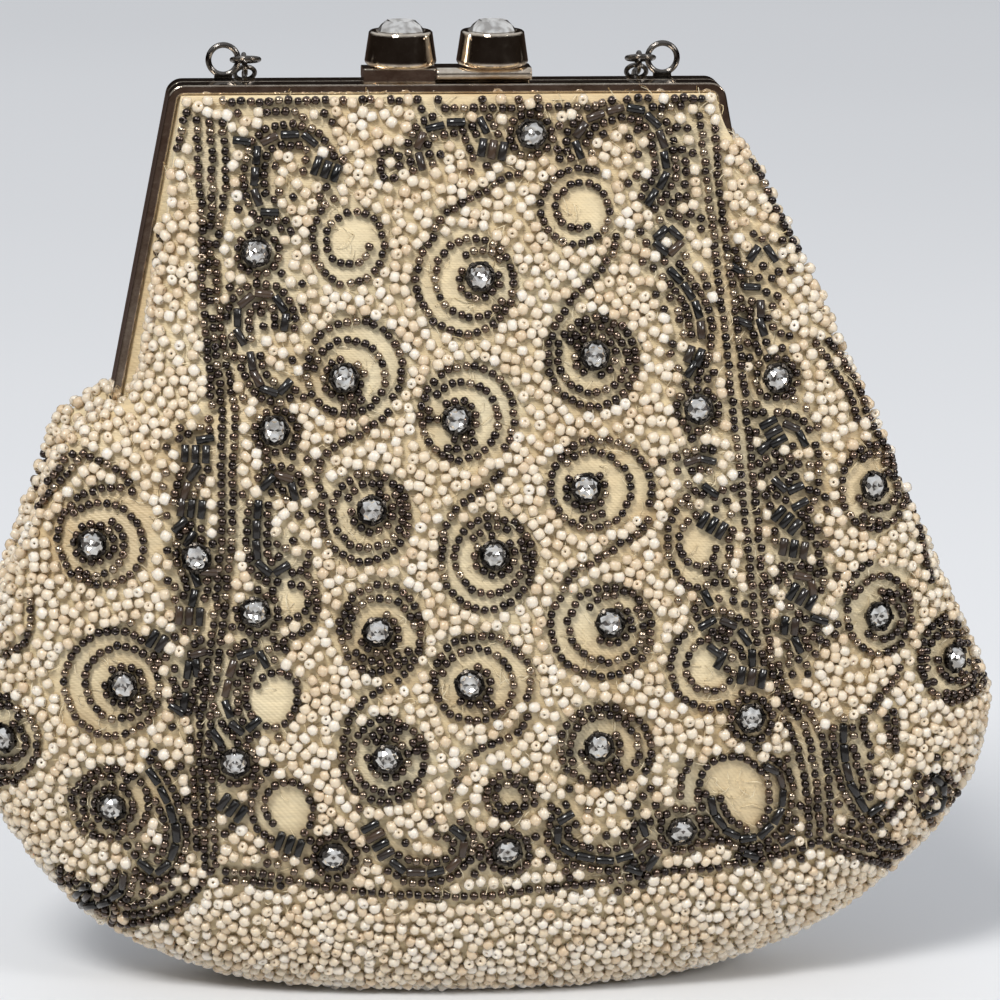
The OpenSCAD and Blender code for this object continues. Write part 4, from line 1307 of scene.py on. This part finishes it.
def camera():
    data = bpy.data.cameras.new("camera")
    data.sensor_width = SENSOR_W
    data.lens = SENSOR_W * CAM_FOCAL_PX / PHOTO_PX
    data.clip_start, data.clip_end = 0.05, 50
    obj = bpy.data.objects.new("camera", data)
    axes = camera_axes()
    turn = Matrix([list(row) for row in np.stack(axes, -1)])
    obj.matrix_world = Matrix.Translation(Vector(camera_place() * MM)) @ turn.to_4x4()
    bpy.context.scene.collection.objects.link(obj)
    bpy.context.scene.camera = obj


def area_light(name, place, aim, size, power, colour=(1, 1, 1)):
    data = bpy.data.lights.new(name, "AREA")
    data.shape, data.size, data.size_y = "RECTANGLE", size[0], size[1]
    data.energy, data.color = power, colour
    obj = bpy.data.objects.new(name, data)
    obj.location = place
    obj.rotation_mode = "QUATERNION"
    obj.rotation_quaternion = (Vector(aim) - Vector(place)).to_track_quat("-Z", "Y")
    bpy.context.scene.collection.objects.link(obj)


# Y range, in metres, over which painted shade darkens the floor's colour
FLOOR_SHADE_SPAN = (-1.8, 0.7)


def floor():
    """A wide pale floor with painted shade in its colour: darker under the key light, to even out that
    light's pool, and a little darker behind the bag than in front of it.
    """
    size = 8.0
    mesh = bpy.data.meshes.new("floor")
    mesh.from_pydata([(-size, -size, 0), (size, -size, 0), (size, size, 0), (-size, size, 0)], [],
                     [(0, 1, 2, 3)])
    obj = bpy.data.objects.new("floor", mesh)
    bpy.context.scene.collection.objects.link(obj)
    n = Nodes("pale floor")
    near = part_of(n.tree, n.coords, "Y", *FLOOR_SHADE_SPAN)
    base = n.ramp(n.noise(0.002, 2.0), (0.3, (0.84, 0.86, 0.89)), (0.7, (0.88, 0.90, 0.93)))
    # Painted shade: the floor's colour is darkened by its Y position, most under the key light and a little
    # behind the bag.
    painted_floor_shade = n.ramp(near, (0.0, 0.60), (0.72, 0.90), (1.0, 0.83))
    n.link(n.blend(base, painted_floor_shade, 1.0, "MULTIPLY"), "Base Color")
    n.set(Roughness=0.9, Specular_IOR_Level=0.0)
    mesh.materials.append(n.material)
    obj.visible_glossy = False


# Colours of the studio round the bag: straight below at 0, the horizon at 0.5, straight above at 1
SKY = ((0.0, (0.85, 0.84, 0.84)), (0.34, (0.80, 0.78, 0.76)), (0.42, (0.10, 0.07, 0.06)),
       (0.50, (0.02, 0.015, 0.012)), (0.62, (0.025, 0.02, 0.018)), (0.70, (0.92, 0.93, 0.95)),
       (1.0, (0.78, 0.80, 0.84)))


def world():
    w = bpy.data.worlds.new("studio")
    bpy.context.scene.world = w
    w.use_nodes = True
    tree = w.node_tree
    direction = tree.nodes.new("ShaderNodeTexCoord").outputs["Generated"]
    height = part_of(tree, direction, "Z", -1, 1)
    background = tree.nodes["Background"]
    tree.links.new(colour_ramp(tree, height, SKY), background.inputs["Color"])
    background.inputs["Strength"].default_value = 0.7


camera()
floor()
world()
area_light("key", (-1.0, -1.8, 2.2), (0, 0, 0.07), (0.8, 0.8), 62, (1.0, 0.98, 0.95))
area_light("fill", (1.5, -1.3, 1.0), (0, 0, 0.07), (0.5, 0.5), 13, (1.0, 0.98, 0.96))
bpy.context.scene.view_settings.view_transform = "Standard"
